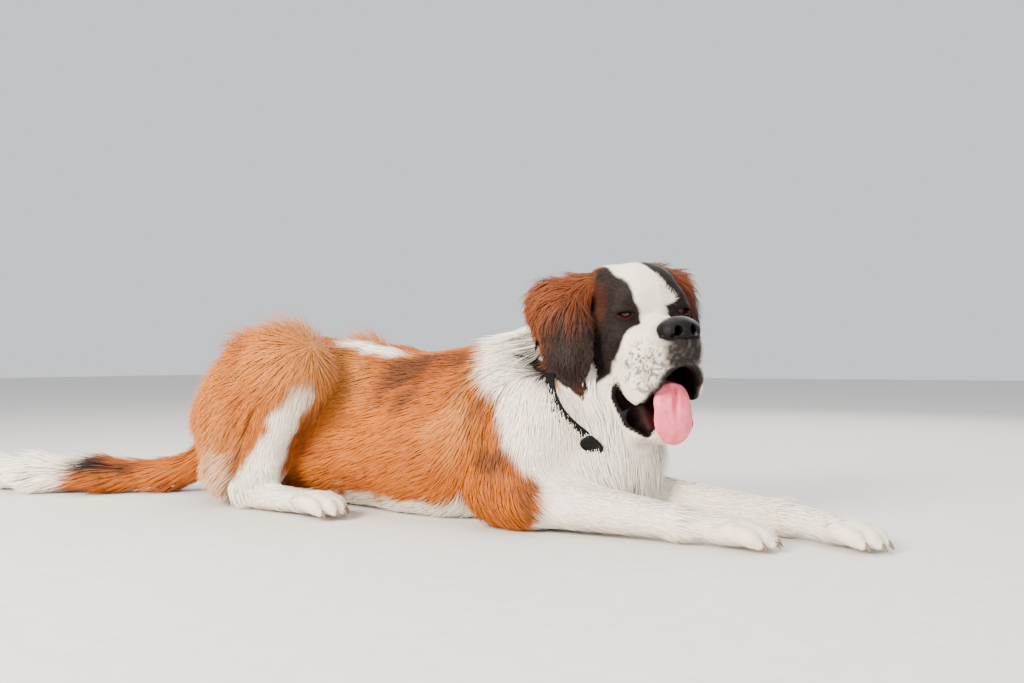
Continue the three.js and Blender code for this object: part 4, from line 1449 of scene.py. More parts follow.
@dataclass
class Fur:
    """The coat: thin tapered tufts over the skin, along the lie of the hair."""

    flesh: Flesh
    markings: Markings
    skin: Skin
    seed: int = 7
    most: int = 190000
    thinned: float = 0.6
    ear_gap: float = 13.0
    neck_gap: float = 27.0
    foot_height: float = 5.0
    lip_edges: tuple[float, float] = (5.5, 6.0)
    lid_edge: float = 3.8
    nose_edge: float = 2.5

    def lie(self, p: Array, normal: Array, place: Array) -> Array:
        """The way that the hair lies at some points.

        Args:
            p: points in the body's frame.
            normal: the skin's normals there.
            place: the number of each point's place.

        Returns:
            Directions along the skin, one long.
        """
        way = np.tile(np.array([-1.0, 0, -0.42]), (len(p), 1))
        ahead = smooth(p[:, 0], -90, 70)[:, None]
        low = (1 - smooth(p[:, 2], 240, 320))[:, None]
        way += (np.array([0.2, 0, -1.0]) - way) * ahead * low
        is_at = lambda *names: np.isin(place, [n.value for n in names])
        neck = is_at(Place.NECK)
        way[neck] = [0, 0, -1.0]
        way[neck, 0] = np.interp(p[neck, 2], (170, 260, 320, 350), (0.3, 0.3, -0.3, -0.8))
        way[neck, 2] += 0.8 * smooth(normal[neck, 2], 0.6, 0.95)
        thigh = is_at(Place.THIGHS)
        for leg in HIND:
            mine = thigh & (np.sign(p[:, 1]) == leg.side)
            fan = unit(p[mine] - [leg.knee[0] + 60, leg.knee[1], leg.knee[2] + 50])
            far = smooth(np.linalg.norm(p[mine] - np.array(leg.knee), axis=1), 60, 260)[:, None]
            way[mine] = fan * (1 - 0.6 * far) + np.array([-0.6, 0, -0.8]) * far
        limbs = ((Place.SHANKS, HIND), (Place.HIND_FEET, HIND), (Place.FORELEGS, FORE), (Place.FOREFEET, FORE))
        for name, legs in limbs:
            for leg in legs:
                mine = is_at(name) & self.nearer(p, leg, legs)
                way[mine] = self.down_leg(p[mine], leg)
        tail = is_at(Place.TAIL)
        way[tail] = self.along(p[tail], [at for at, r in TAIL]) + [0, 0, -0.25]
        head = place >= Place.SKULL.value
        q = to_head(p[head])
        own = place[head]
        w = np.tile(np.array([-1.0, 0, -0.15]), (len(q), 1))
        w[:, 2] += 0.9 * smooth(q[:, 2], -20, 30) * smooth(q[:, 0], -60, 20)
        w[:, 1] += np.sign(q[:, 1]) * 0.25
        low = own != Place.SKULL.value
        w[low, 2] -= 0.75 * smooth(-q[low, 2], 60, 110)
        jaw = own == Place.JAW.value
        w[jaw] = [-0.7, 0, -0.5]
        ear = own == Place.EARS.value
        w[ear] = [-0.25, 0, -1.0]
        w[ear, 0] -= 0.8 * smooth(q[ear][:, 2], 0, 60)
        w[ear, 1] += np.sign(q[ear][:, 1]) * 0.5 * smooth(q[ear][:, 2], 20, 60)
        way[head] = w @ HEAD_TURN.T
        way += (np.stack([noise(p, 42, 90 + i) for i in range(3)], 1) - 0.5) * 0.5
        way -= normal * (way * normal).sum(1)[:, None]
        return unit(way)

    @staticmethod
    def share_of_length(p: Array, place: Place) -> Array:
        """The hair's share of its coat's length: more on the chest, less on the lower ears.

        Args:
            p: points in the body's frame.
            place: where the hair grows.

        Returns:
            One share for each point.
        """
        if place is Place.TRUNK:
            return 1 + 0.45 * smooth(p[:, 0], 60, 170) * smooth(p[:, 2], 60, 120)
        if place is not Place.EARS:
            return np.ones(len(p))
        q = to_head(p)
        long = np.maximum(smooth(q[:, 2], -40, 20), smooth(-q[:, 0], 108, 140))
        return 0.22 + 0.12 * smooth(q[:, 2], -110, -70) + 0.66 * long

    @staticmethod
    def nearer(p: Array, leg: Leg, legs: Sequence[Leg]) -> Array:
        """Whether points are nearer to one leg than to the other of its pair.

        Args:
            p: points in the body's frame.
            leg: the leg.
            legs: the pair.

        Returns:
            One answer for each point.
        """
        ends = [other.heel if isinstance(other, HindLeg) else other.wrist for other in legs]
        mine = leg.heel if isinstance(leg, HindLeg) else leg.wrist
        spans = []
        for other, end in zip(legs, ends):
            path = sorted((tuple(other.toes[:2]), tuple(end[:2])))
            spans.append(np.abs(p[:, 1] - np.interp(p[:, 0], *zip(*path))))
        return spans[ends.index(mine)] <= np.minimum(*spans)

    @staticmethod
    def down_leg(p: Array, leg: Leg) -> Array:
        """Directions down a leg towards its toes.

        Args:
            p: points in the body's frame.
            leg: the leg.

        Returns:
            One direction for each point.
        """
        if isinstance(leg, HindLeg):
            path = [leg.knee, (leg.heel[0] + 30, leg.heel[1], leg.heel[2] + 40), leg.heel, leg.toes]
        else:
            path = [leg.shoulder, leg.elbow, leg.wrist, leg.toes]
        end = leg.foot().place(120, 0, -10)
        return Fur.along(p, [*path, end]) + [0, 0, -0.2]

    @staticmethod
    def along(p: Array, path: Sequence[Point]) -> Array:
        """Directions along a path, at the nearest of its lengths, softly mixed.

        Args:
            p: points in the body's frame.
            path: the places that it runs through.

        Returns:
            One direction for each point.
        """
        total = np.zeros((len(p), 3))
        weight = np.zeros(len(p))
        for a, b in zip(path, path[1:]):
            a, b = np.array(a, float), np.array(b, float)
            t = np.clip((p - a) @ (b - a) / ((b - a) @ (b - a)), 0, 1)
            d = np.linalg.norm(p - a - t[:, None] * (b - a), axis=1)
            w = 1 / (d + 4) ** 4
            total += w[:, None] * unit(b - a)
            weight += w
        return total / weight[:, None]

    def bare(self, p: Array) -> Array:
        """Whether hair is missing at some points: on the lips, lids, nose and soles.

        Args:
            p: points in the body's frame.

        Returns:
            One answer for each point.
        """
        q = to_head(p)
        upper, lower = self.lip_edges
        edges = (PALATE(q) - upper, JAW_HOLLOW(q) - lower, LID_SLITS(q) - self.lid_edge, NOSE_SHAPE(q) - self.nose_edge)
        return (np.minimum.reduce(edges) < 0) | (p[:, 2] < self.foot_height)

    def roots(self, rng: np.random.Generator) -> tuple[Array, Array, Array]:
        """Picks the roots of the tufts: where they are, the skin's normals and their places.

        Args:
            rng: the source of chance.

        Returns:
            The points, the normals and the places' numbers.
        """
        v, f = self.skin.verts, self.skin.faces
        a, b, c, d = (v[f[:, i]] for i in range(4))
        area = 0.5 * np.linalg.norm(np.cross(c - a, d - b), axis=1)
        place = self.flesh.place_of((a + b + c + d) / 4)
        spacing = np.array([COATS[name].spacing for name in Place])
        want = area / spacing[place] ** 2
        at = np.floor(np.cumsum(want) + rng.random())
        count = np.diff(np.concatenate([[0], at])).astype(int)
        face = np.repeat(np.arange(len(f)), count)
        s, t = rng.random((2, len(face), 1))
        n = self.skin.normals
        corner = lambda of, i: of[f[face, i]]
        near_edge = lambda of: corner(of, 0) * (1 - s) + corner(of, 1) * s
        far_edge = lambda of: corner(of, 3) * (1 - s) + corner(of, 2) * s
        mix = lambda of: near_edge(of) * (1 - t) + far_edge(of) * t
        p, normal = mix(v), unit(mix(n))
        under = (normal[:, 2] < -0.35) & (p[:, 2] < 60)
        keep = ~self.bare(p) & ~(under & (rng.random(len(p)) < self.thinned))
        own = place[face]
        gap = np.where(own == Place.NECK.value, self.neck_gap, self.ear_gap)
        keep &= (own == Place.EARS.value) | (own == Place.SKULL.value) | (self.flesh.places[Place.EARS](p) > gap)
        return p[keep].astype(np.float32), normal[keep].astype(np.float32), place[face[keep]]

    def build(self) -> list[bpy.types.Object]:
        """Grows the coat, a few objects for each place.

        Returns:
            The objects.
        """
        rng = np.random.default_rng(self.seed)
        p, normal, place = self.roots(rng)
        way = self.lie(p, normal, place)
        finish = HairFinish().make()
        made = []
        for name in Place:
            mine = np.nonzero(place == name.value)[0]
            each = 6 * (COATS[name].rings - 1) + 4
            pieces = max(1, math.ceil(len(mine) * each / self.most))
            order = mine[np.argsort(p[mine, 0], kind="stable")]
            for i, part in enumerate(np.array_split(order, pieces)):
                label = "coat_" + name.name.lower() + (f"_{i + 1}" if pieces > 1 else "")
                made.append(self.piece(label, name, p[part], normal[part], way[part], rng))
                made[-1].data.materials.append(finish)
            LOG.info("%s: %d tufts, %d triangles", name.name.lower(), len(mine), len(mine) * each)
        return made

    def piece(
        self, label: str, place: Place, p: Array, normal: Array, way: Array, rng: np.random.Generator
    ) -> bpy.types.Object:
        """Grows the tufts of one coat piece.

        Args:
            label: the object's name.
            place: where on the body it grows.
            p: the roots.
            normal: the skin's normals at the roots.
            way: the lie of the hair at the roots.
            rng: the source of chance.

        Returns:
            The object, with its colours and its OFBake map.
        """
        coat = COATS[place]
        n, rings = len(p), coat.rings
        size = coat.length * (0.65 + 0.6 * rng.random(n)) * (0.8 + 0.4 * noise(p, 30, 5))
        size = np.minimum(size, 0.35 * coat.length + 1.6 * np.maximum(p[:, 2], 0)) + 2
        size *= self.share_of_length(p, place)
        lift = coat.lift * (0.5 + rng.random(n))
        if place is Place.THIGHS:
            fluff = smooth(normal[:, 2], 0.6, 0.92) * smooth(p[:, 2], 225, 290)
            size *= 1 + 0.2 * fluff
            lift *= 1 + 1.2 * fluff
        across = unit(np.cross(normal, way))
        swing = coat.wave * (noise(p, 24, 6) - 0.5 + 0.5 * (rng.random(n) - 0.5)) * 2
        spine = []
        for i in range(rings + 1):
            t = i / rings
            out = -1.2 * (1 - t) + size * lift * (t - 0.35 * t * t)
            side = swing * math.sin(t * 3.4)
            at = p + way * (size * t)[:, None] + normal * out[:, None] + across * side[:, None]
            if i:
                at = self.comb(at, 0.6 + size * lift * t * 0.8)
            spine.append(at)
        spine = np.stack(spine, 1)
        verts = np.zeros((n, 3 * rings + 1, 3), np.float32)
        shade = np.zeros_like(verts)
        for i in range(rings):
            t = i / rings
            half = 0.5 * coat.width * (0.75 + 0.5 * rng.random(n)) * (1 - 0.55 * t * t) * (0.7 if i == 0 else 1)
            ridge = spine[:, i] + normal * (half * 0.55)[:, None]
            verts[:, 3 * i] = spine[:, i] - across * half[:, None]
            verts[:, 3 * i + 1] = ridge
            verts[:, 3 * i + 2] = spine[:, i] + across * half[:, None]
            shade[:, 3 * i] = normal - across * 0.55
            shade[:, 3 * i + 1] = normal
            shade[:, 3 * i + 2] = normal + across * 0.55
        verts[:, -1] = spine[:, -1]
        shade[:, -1] = normal
        verts[..., 2] = np.maximum(verts[..., 2], 0.4)
        faces = []
        for i in range(rings - 1):
            for j in range(3):
                a, b = 3 * i + j, 3 * i + (j + 1) % 3
                faces += [(a, b + 3, a + 3), (a, b, b + 3)]
        last = 3 * (rings - 1)
        faces += [(last + j, last + (j + 1) % 3, last + 3) for j in range(3)]
        faces.append((0, 2, 1))
        faces = np.array(faces)[:, ::-1]
        all_faces = (faces[None] + (np.arange(n) * (3 * rings + 1))[:, None, None]).reshape(-1, 3)
        obj = mesh_object(label, verts.reshape(-1, 3), all_faces)
        obj.data.normals_split_custom_set_from_vertices(unit(shade.reshape(-1, 3)))
        # painted shade and light: each tuft is darkened towards its root, where the coat shades it, and lightened at
        # its tip
        root_shade_tip_light = np.concatenate([np.repeat(0.84 + 0.2 * np.arange(rings) / rings, 3), [1.06]])
        along = np.append(np.repeat(np.arange(rings) / rings, 3), 1)[None, :, None]
        where = np.full(n, place.value)
        low, high = spine[:, 0] + 0.5 * (spine[:, 1] - spine[:, 0]), 0.3 * spine[:, -2] + 0.7 * spine[:, -1]
        root, tip = (self.markings(at.astype(np.float32), where)[:, None] for at in (low, high))
        own = (root + (tip - root) * along) * (0.92 + 0.16 * rng.random((n, 1, 1)))
        paint(obj, "coat", (own * root_shade_tip_light[None, :, None]).reshape(-1, 3))
        self.unwrap(obj, p, verts, all_faces)
        return obj

    def comb(self, at: Array, height: Array) -> Array:
        """Moves points to a height over the skin, so that hair follows its bends.

        Args:
            at: the points.
            height: how far each may stand from the skin.

        Returns:
            The moved points.
        """
        at = at.astype(np.float32)
        d = self.flesh(at)
        step = np.where(d < height * 0.6, height * 0.6 - d, np.minimum(height * 1.5 - d, 0))
        return at + slope_of(self.flesh, at, 1.5) * np.clip(step, -14, 14)[:, None]

    @staticmethod
    def unwrap(obj: bpy.types.Object, p: Array, verts: Array, faces: Array) -> None:
        """Gives each tuft a small patch of the OFBake map, at its root's place round the piece's long axis.

        Args:
            obj: the object.
            p: the roots.
            verts: the corners of each tuft.
            faces: all the faces.
        """
        middle = p.mean(0)
        axes = np.linalg.svd(p - middle, full_matrices=False)[2] if len(p) < 60000 else np.eye(3)
        q = (p - middle) @ axes.T
        u = (q[:, 0] - q[:, 0].min()) / max(float(np.ptp(q[:, 0])), 1e-6)
        v = np.arctan2(q[:, 2], q[:, 1]) / (2 * math.pi) + 0.5
        root = 0.004 + 0.992 * np.stack([u, v], 1)
        per = verts.shape[1]
        local = np.zeros((per, 2))
        local[:, 0] = (np.arange(per) // 3) / max(per // 3, 1) * 0.003 - 0.0015
        local[:, 1] = (np.arange(per) % 3 - 1) * 0.0015
        local[-1, 1] = 0
        uv = (root[:, None] + local[None]).reshape(-1, 2)[faces.ravel()]
        layer = obj.data.uv_layers.new(name="OFBake")
        layer.data.foreach_set("uv", np.clip(uv, 0, 1).astype(np.float32).ravel())


@dataclass
class Face:
    """The eyes, the nose, the tongue and the whiskers, in mm."""

    nose_cell: float = 1.3
    tongue_cell: float = 1.8
    bristles: int = 14
    bristle_rings: int = 7
    bristle_radius: float = 0.38
    bristle_length: tuple[float, float] = (34, 60)
    eye_rings: int = 28
    eye_turns: int = 40

    def solid(self, name: str, form: Field, low: Point, high: Point, cell: float) -> bpy.types.Object:
        """A form of the head's frame as an object.

        Args:
            name: its name.
            form: its field.
            low: the lowest corner of its box.
            high: the highest corner.
            cell: the size of a cell.

        Returns:
            The object.
        """
        verts, faces = surface_net(form, np.array(low, float), np.array(high, float), cell)
        verts = settle(form, verts, 2, cell * 0.6)
        return mesh_object(name, from_head(verts), faces)

    def nose(self) -> bpy.types.Object:
        """The nose leather, pebbled and moist.

        Returns:
            The object.
        """
        leather = carve(2.5, NOSE_SHAPE, NOSTRILS)
        made = self.solid("nose_leather", leather, (44, -46, -80), (124, 46, -6), self.nose_cell)
        finish, shader, tree = material("nose_leather")
        pebble = tree.nodes.new("ShaderNodeTexVoronoi")
        pebble.inputs["Scale"].default_value = 620
        place = tree.nodes.new("ShaderNodeTexCoord")
        tree.links.new(place.outputs["Object"], pebble.inputs["Vector"])
        # painted shade: the leather is darker in the grooves between its pebbles than on their tops
        tones = ramp(tree, [(0.0, tint(20, 17, 18)), (0.6, tint(12, 10, 11)), (1.0, tint(6, 5, 6))])
        tree.links.new(pebble.outputs["Distance"], tones.inputs["Fac"])
        tree.links.new(tones.outputs["Color"], shader.inputs["Base Color"])
        tree.links.new(mapped(tree, noise_node(tree, 90).outputs["Fac"], 0.34, 0.5), shader.inputs["Roughness"])
        shader.inputs["Specular IOR Level"].default_value = 0.11
        bump(tree, shader, pebble.outputs["Distance"], 0.5, 0.0009)
        made.data.materials.append(finish)
        return made

    def tongue(self) -> bpy.types.Object:
        """The tongue, wet and finely dotted.

        Returns:
            The object.
        """
        made = self.solid("tongue_flesh", TONGUE, (-60, -60, -250), (110, 60, -90), self.tongue_cell)
        tones = (tint(214, 80, 102), tint(240, 118, 138))
        finish = Blotched("tongue_flesh", tones, 60, 5, (0.28, 0.5), 240, 1500, 0.3, (0.35, 0.0008))
        shader = finish.dress(made)
        shader.inputs["Subsurface Weight"].default_value = 0.25
        shader.inputs["Subsurface Radius"].default_value = (0.006, 0.002, 0.0015)
        return made

    def whiskers(self) -> bpy.types.Object:
        """Fine bristles on both sides of the muzzle, each a thin tapered tube.

        Returns:
            The object.
        """
        rng = np.random.default_rng(17)
        verts, faces = [], []
        rings = self.bristle_rings
        shortest, longest = self.bristle_length
        for side in SIDES:
            for i in range(self.bristles):
                a = np.array([66 - 13 * (i // 4), side * 44, -74 - 12 * (i % 4)]) + rng.normal(0, 3, 3)
                root = self.on_skin(a, np.array([0.2, side, 0.0]))
                way = unit(np.array([0.35 - 0.1 * (i // 4), side * 1.0, -0.35 + 0.1 * rng.normal()]))
                long = shortest + (longest - shortest) * rng.random()
                side_way = unit(np.cross(way, [0, 0, 1.0]))
                up = np.cross(side_way, way)
                start = len(verts)
                for k in range(rings):
                    t = k / (rings - 1)
                    at = root + way * long * (t - 0.04) - np.array([0.1, 0, 1.0]) * long * 0.3 * t * t
                    r = self.bristle_radius * (1 - 0.85 * t)
                    for j in range(4):
                        b = math.pi / 2 * j
                        verts.append(at + r * (math.cos(b) * side_way + math.sin(b) * up))
                faces += tube(rings, 4, start)
        made = mesh_object("whiskers", from_head(np.array(verts, np.float32)), np.array(faces))
        Blotched("bristle", (tint(196, 190, 182), tint(238, 234, 228)), 300, 2, (0.3, 0.5)).dress(made)
        return made

    def on_skin(self, at: Array, out: Array) -> Array:
        """The place on the muzzle's surface that lies the given way from a point.

        Args:
            at: the point.
            out: the way.

        Returns:
            The place.
        """
        snout = grow(blend(14, MUZZLE, FLEWS), -COATS[Place.MUZZLE].depth)
        p = at.copy()
        for _ in range(24):
            p = p - unit(out) * float(snout(p[None].astype(np.float32))[0]) * 0.8
        return p

    def eye(self, side: int, name: str) -> bpy.types.Object:
        """An eyeball with a bulging cornea, coloured by the angle from its axis.

        Args:
            side: RIGHT or LEFT.
            name: the object's name.

        Returns:
            The object.
        """
        rings, turns = self.eye_rings, self.eye_turns
        axis = unit(np.array([0.93, side * 0.36, -0.05]))
        across = unit(np.cross([0, 0, 1], axis))
        up = np.cross(axis, across)
        verts, angle = [], []
        for i in range(rings + 1):
            a = math.pi * i / rings
            r = EYE_RADIUS - 0.4 + 1.0 * math.exp(-((a / 0.5) ** 2))
            for j in range(turns):
                b = 2 * math.pi * j / turns
                verts.append(r * (math.cos(a) * axis + math.sin(a) * (math.cos(b) * across + math.sin(b) * up)))
                angle.append(a / math.pi)
        centre = np.array([-12, side * EYE_SPREAD, -4])
        corners = from_head((np.array(verts) + centre).astype(np.float32))
        made = mesh_object(name, corners, np.array(tube(rings + 1, turns)))
        paint(made, "angle", np.repeat(np.array(angle)[:, None], 3, 1))
        finish, shader, tree = material(name)
        read = add(tree, "ShaderNodeAttribute", attribute_name="angle")
        jitter = noise_node(tree, 800, 3)
        total = add(tree, "ShaderNodeMath", operation="MULTIPLY_ADD")
        tree.links.new(jitter.outputs["Fac"], total.inputs[0])
        total.inputs[1].default_value = 0.02
        tree.links.new(read.outputs["Fac"], total.inputs[2])
        tones = ramp(
            tree,
            [
                (0.06, (0.002, 0.002, 0.003)),
                (0.085, tint(26, 13, 8)),
                (0.19, tint(46, 22, 12)),
                (0.225, tint(14, 8, 7)),
                (0.26, tint(104, 66, 58)),
                (0.4, tint(96, 44, 40)),
            ],
        )
        tree.links.new(total.outputs[0], tones.inputs["Fac"])
        tree.links.new(tones.outputs["Color"], shader.inputs["Base Color"])
        tree.links.new(mapped(tree, jitter.outputs["Fac"], 0.14, 0.26), shader.inputs["Roughness"])
        shader.inputs["Specular IOR Level"].default_value = 0.3
        shader.inputs["Coat Weight"].default_value = 0.12
        shader.inputs["Coat Roughness"].default_value = 0.06
        made.data.materials.append(finish)
        return made


@dataclass(frozen=True)
class Claws:
    """The claws of one foot: short, curved and blunt."""

    long: float = 11.0
    radius: float = 5.0
    ahead: float = 46.0
    height: float = -11.0
    drop: float = 9.5

    def build(self, foot: Foot, name: str) -> bpy.types.Object:
        """The four claws of a foot as one object.

        Args:
            foot: the foot.
            name: the object's name.

        Returns:
            The object.
        """
        verts, faces = [], []
        rings, turns = 9, 12
        for across, reach in foot.toes:
            start = len(verts)
            for k in range(rings):
                t = k / (rings - 1)
                along = reach + self.ahead + self.long * t
                up = self.height - self.drop * t * t
                r = self.radius * math.sqrt(max(1 - t**2.2, 0.004)) * (1 if k else 0.4)
                for j in range(turns):
                    a = 2 * math.pi * j / turns
                    at = foot.place(along, across + 0.75 * r * math.cos(a), up + r * math.sin(a))
                    verts.append((at[0], at[1], max(at[2], 0.6)))
            faces += tube(rings, turns, start)
        made = mesh_object(name, np.array(verts), np.array(faces))
        Blotched("horn", (tint(88, 70, 58), tint(140, 116, 98)), 400, 4, (0.3, 0.5), bumps=(0.2, 0.0004)).dress(made)
        return made


@dataclass(frozen=True)
class Collar:
    """A woven strap in the hair of the neck and the tab that hangs from it, in mm."""

    at: Point = (167.5, 0, 238.5)
    slope: float = 22.7
    width: float = 19.0
    forward: float = 90.0
    turns: int = 288
    raised: float = -0.5
    bulge: float = 3.0
    thick: float = 3.6
    tab_angle: float = 219.0

    def out(self, angle: Array) -> Array:
        """The ways out from the middle of the neck.

        Args:
            angle: angles round the neck, in radians.

        Returns:
            One direction for each angle.
        """
        s = math.radians(self.slope)
        across = np.cos(angle)
        up = np.sin(angle)
        return np.stack([-math.sin(s) * up, across, math.cos(s) * up], -1)

    def centre(self, angle: Array, along: float) -> Array:
        """The points inside the neck that the strap is set out from.

        Args:
            angle: angles round the neck, in radians.
            along: how far forward of the strap's middle.

        Returns:
            One point for each angle.
        """
        s = math.radians(self.slope)
        push = along + self.forward * ((1 - np.sin(angle)) / 2) ** 5
        return np.array(self.at) + push[:, None] * np.array([math.cos(s), 0, math.sin(s)])

    def reach(self, flesh: Flesh, angle: Array, along: float) -> Array:
        """How far out the skin is, evened out round the neck.

        Args:
            flesh: the flesh.
            angle: angles round the neck, in radians.
            along: how far forward of the strap's middle.

        Returns:
            One distance for each angle.
        """
        far = np.full(len(angle), 40.0)
        out, start = self.out(angle), self.centre(angle, along)
        for _ in range(50):
            far -= 0.7 * flesh.body((start + out * far[:, None]).astype(np.float32))
        for _ in range(6):
            far = (np.roll(far, 1) + 2 * far + np.roll(far, -1)) / 4
        return far

    def strap(self, flesh: Flesh) -> bpy.types.Object:
        """The strap, with rounded edges and a woven face.

        Args:
            flesh: the flesh that it goes round.

        Returns:
            The object.
        """
        angle = 2 * math.pi * np.arange(self.turns) / self.turns
        half, t = self.width / 2, self.thick / 2
        section = [(-half, -t), (-half - 0.8, 0), (-half, t * 0.8), (-half + 1.6, t), (-half + 2.2, t * 0.7)]
        section += [(x, t * 0.75) for x in (-half / 2, 0, half / 2)]
        section += [(half - 2.2, t * 0.7), (half - 1.6, t), (half, t * 0.8), (half + 0.8, 0), (half, -t)]
        out = self.out(angle)
        rows, weave = [], []
        middle = self.reach(flesh, angle, 0)
        for along, height in section:
            near = 1 - smooth(np.abs(np.degrees(angle) - 195), 22, 60)
            dip = 3 * smooth(-np.sin(angle), 0.75, 0.95)
            far = 0.5 * (middle + self.reach(flesh, angle, along)) + self.raised + self.bulge * near + height - dip
            rows.append(self.centre(angle, along) + out * far[:, None])
            weave.append(np.stack([angle * middle.mean(), np.full(len(angle), along), np.zeros(len(angle))], -1))
        verts = np.stack(rows, 1).reshape(-1, 3)
        faces = tube(self.turns, len(section), closed=True)
        made = mesh_object("collar_strap", verts, np.array(faces))
        paint(made, "weave", np.stack(weave, 1).reshape(-1, 3))
        made.data.materials.append(self.webbing())
        return made

    def webbing(self) -> bpy.types.Material:
        """Dark woven webbing, a little worn.

        Returns:
            The material.
        """
        finish, shader, tree = material("webbing")
        read = add(tree, "ShaderNodeAttribute", attribute_name="weave")
        waves = []
        for turn in (45, -45):
            turned = add(tree, "ShaderNodeMapping")
            turned.inputs["Rotation"].default_value = (0, 0, math.radians(turn))
            wave = add(tree, "ShaderNodeTexWave")
            wave.inputs["Scale"].default_value = 0.16
            tree.links.new(read.outputs["Vector"], turned.inputs["Vector"])
            tree.links.new(turned.outputs["Vector"], wave.inputs["Vector"])
            waves.append(wave.outputs["Fac"])
        woven = add(tree, "ShaderNodeMath", operation="MULTIPLY")
        tree.links.new(waves[0], woven.inputs[0])
        tree.links.new(waves[1], woven.inputs[1])
        tones = ramp(tree, [(0.0, tint(5, 5, 6)), (0.5, tint(12, 11, 12)), (1.0, tint(24, 23, 24))])
        tree.links.new(woven.outputs[0], tones.inputs["Fac"])
        worn = noise_node(tree, 120, 4)
        tone = mottled(tree, tones.outputs["Color"], worn.outputs["Fac"], 0.7, 1.3)
        tree.links.new(tone, shader.inputs["Base Color"])
        tree.links.new(mapped(tree, worn.outputs["Fac"], 0.7, 0.95), shader.inputs["Roughness"])
        shader.inputs["Specular IOR Level"].default_value = 0.15
        bump(tree, shader, woven.outputs[0], 0.6, 0.0008)
        return finish

    def tab(self, outline: Flesh) -> bpy.types.Object:
        """The tab: a flat rounded tag with a raised rim, hanging over the hair.

        Args:
            outline: the flesh that it hangs from.

        Returns:
            The object.
        """
        angle = np.array([math.radians(self.tab_angle)])
        out = self.out(angle)[0]
        far = self.reach(outline, np.linspace(angle[0] - 0.05, angle[0] + 0.05, 5), 0)[2]
        middle = self.centre(angle, -1)[0] + out * (far + COATS[Place.NECK].depth + 2)
        down = unit(np.array([0.12, -0.1, -1.0]) - out * float(np.dot(out, [0.12, -0.1, -1.0])))
        down = down * math.cos(0.6) - np.cross(down, out) * math.sin(0.6)
        side = np.cross(down, out)
        middle = middle + [1, 0, 4]
        rings, turns = ((0.0, 3.2), (0.5, 3.1), (0.72, 2.9), (0.8, 3.7), (0.92, 3.5), (1.0, 2.0)), 48
        verts = []
        sheet = [*rings, *((share, -height) for share, height in reversed(rings))]
        for share, height in sheet:
            for j in range(turns):
                a = 2 * math.pi * j / turns
                wide = 15.5 * np.sign(math.cos(a)) * abs(math.cos(a)) ** 0.6
                tall = 21.0 * np.sign(math.sin(a)) * abs(math.sin(a)) ** 0.75
                wide *= 1 - 0.12 * math.sin(a)
                bend = -0.004 * tall * tall
                verts.append(middle + share * (wide * side + tall * down) + (height + bend * share) * out)
        made = mesh_object("collar_tag", np.array(verts), np.array(tube(len(sheet), turns)))
        tones = (tint(4, 4, 5), tint(9, 10, 11))
        Blotched("dark_tag", tones, 700, 4, (0.38, 0.6), 90, specular=0.12, bumps=(0.25, 0.0004)).dress(made)
        return made


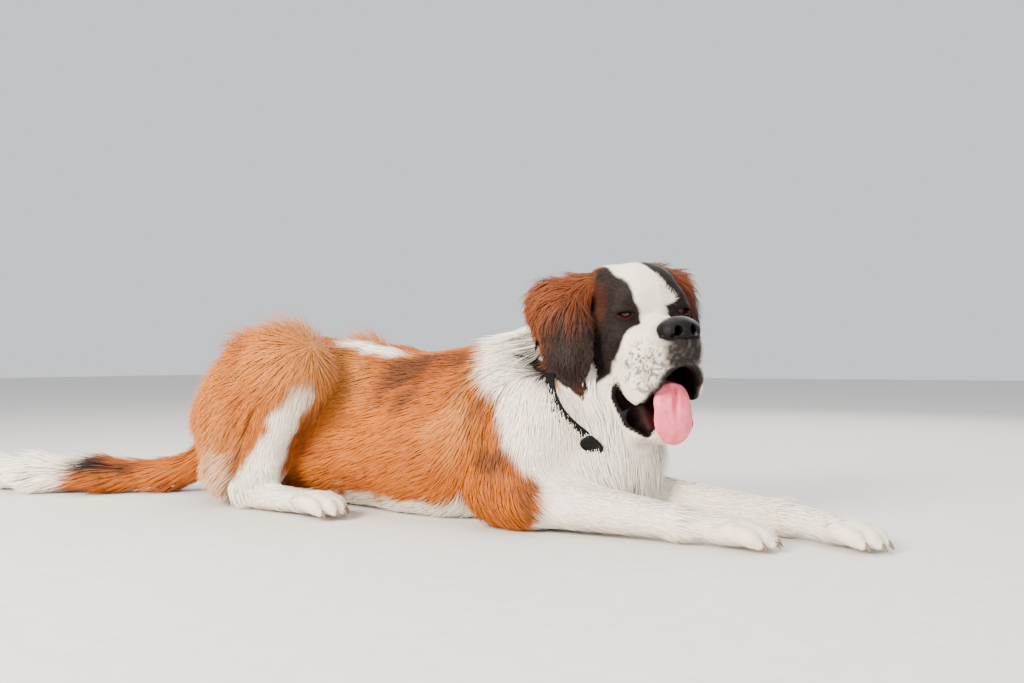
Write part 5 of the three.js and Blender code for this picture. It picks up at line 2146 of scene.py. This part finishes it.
@dataclass(frozen=True)
class Studio:
    """The floor, the lights and the camera."""

    floor: float = 30.0
    focal: float = 900.0
    frame: tuple[int, int] = (1024, 683)
    horizon: float = 362.0
    stand: Point = (0.7789, -1.6228, 0.30)
    azimuth: float = 25.0

    def build(self) -> None:
        """Sets up everything that isn't the animal."""
        self.camera()
        self.lights()
        self.ground()

    def camera(self) -> None:
        """The camera, at the place from which the picture was taken."""
        data = bpy.data.cameras.new("camera")
        data.sensor_width = 36
        data.lens = 36 * self.focal / self.frame[0]
        made = bpy.data.objects.new("camera", data)
        tilt = math.atan((self.horizon - self.frame[1] / 2) / self.focal)
        made.rotation_euler = Euler((math.pi / 2 + tilt, 0, math.radians(self.azimuth)))
        made.location = self.stand
        bpy.context.scene.collection.objects.link(made)
        bpy.context.scene.camera = made

    def lights(self) -> None:
        """A large key light, a fill, a light from above and a pale surround."""
        world = bpy.data.worlds.new("surround")
        world.use_nodes = True
        world.node_tree.nodes["Background"].inputs["Color"].default_value = (0.93, 0.95, 1.0, 1)
        world.node_tree.nodes["Background"].inputs["Strength"].default_value = 1.0
        bpy.context.scene.world = world
        for name, at, size, watts, colour in (
            ("key", (-1.2, -3.3, 1.9), 1.4, 460, (1.0, 0.91, 0.77)),
            ("fill", (2.8, -2.4, 1.2), 2.6, 90, (1.0, 0.97, 0.94)),
            ("above", (-0.2, 0.4, 3.2), 3.0, 110, (1.0, 0.97, 0.92)),
            ("back", (0.6, 3.0, 2.2), 2.4, 70, (1.0, 0.97, 0.92)),
        ):
            data = bpy.data.lights.new(name, "AREA")
            data.size = size
            data.energy = watts
            data.color = colour
            made = bpy.data.objects.new(name, data)
            made.location = at
            made.rotation_euler = (Vector((-0.1, -0.05, 0.15)) - Vector(at)).to_track_quat("-Z", "Y").to_euler()
            bpy.context.scene.collection.objects.link(made)

    def ground(self) -> None:
        """A plain pale floor."""
        half = self.floor / 2 * 1000
        corners = np.array([[-half, -half, 0], [half, -half, 0], [half, half, 0], [-half, half, 0]], float)
        made = mesh_object("floor", corners, np.array([[0, 1, 2, 3]]))
        Blotched("pale_floor", (tint(206, 204, 200), tint(214, 212, 208)), 30, 4, (0.75, 0.85)).dress(made)


FLESH_NODES = (
    "head", "lower_jaw", "ear_right", "ear_left", "neck", "chest", "loin", "foreleg_right", "foreleg_left",
    "thigh_right", "thigh_left", "hindfoot_right", "hindfoot_left", "tail_root", "tail_middle", "tail_tip",
)


def fit(piece: bpy.types.Object, slot: str, *nodes: str) -> None:
    """Lets a piece ride on the body and lets it stand for some nodes.

    Args:
        piece: the piece.
        slot: not used.
        nodes: the solids that it stands for.
    """
    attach(piece, "root")
    if nodes:
        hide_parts(*nodes)
    LOG.info("%s: %d corners", piece.name, len(piece.data.vertices))


def main() -> None:
    """Builds the animal, its collar and the studio."""
    logging.basicConfig(level=logging.INFO, format="%(message)s")
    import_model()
    Studio().build()
    flesh = Flesh()
    markings = Markings()
    skin = Skin(flesh, markings)
    hide = skin.build()
    skin.dress(hide)
    fit(hide, "coat_orange", *FLESH_NODES)
    for coat in Fur(flesh, markings, skin).build():
        fit(coat, "coat_white")
    face = Face()
    fit(face.nose(), "nose_leather", "nose")
    fit(face.tongue(), "tongue", "tongue")
    fit(face.eye(RIGHT, "eyeball_right"), "eye", "eye_right")
    fit(face.eye(LEFT, "eyeball_left"), "eye", "eye_left")
    fit(face.whiskers(), "coat_white")
    for name, leg in zip(("hind_right", "hind_left", "fore_right", "fore_left"), (*HIND, *FORE)):
        fit(Claws().build(leg.foot(), "claws_" + name), "coat_white")
    collar = Collar()
    fit(collar.strap(flesh), "strap", "collar")
    fit(collar.tab(flesh), "tab", "collar_tab")


if __name__ == "__main__":
    main()
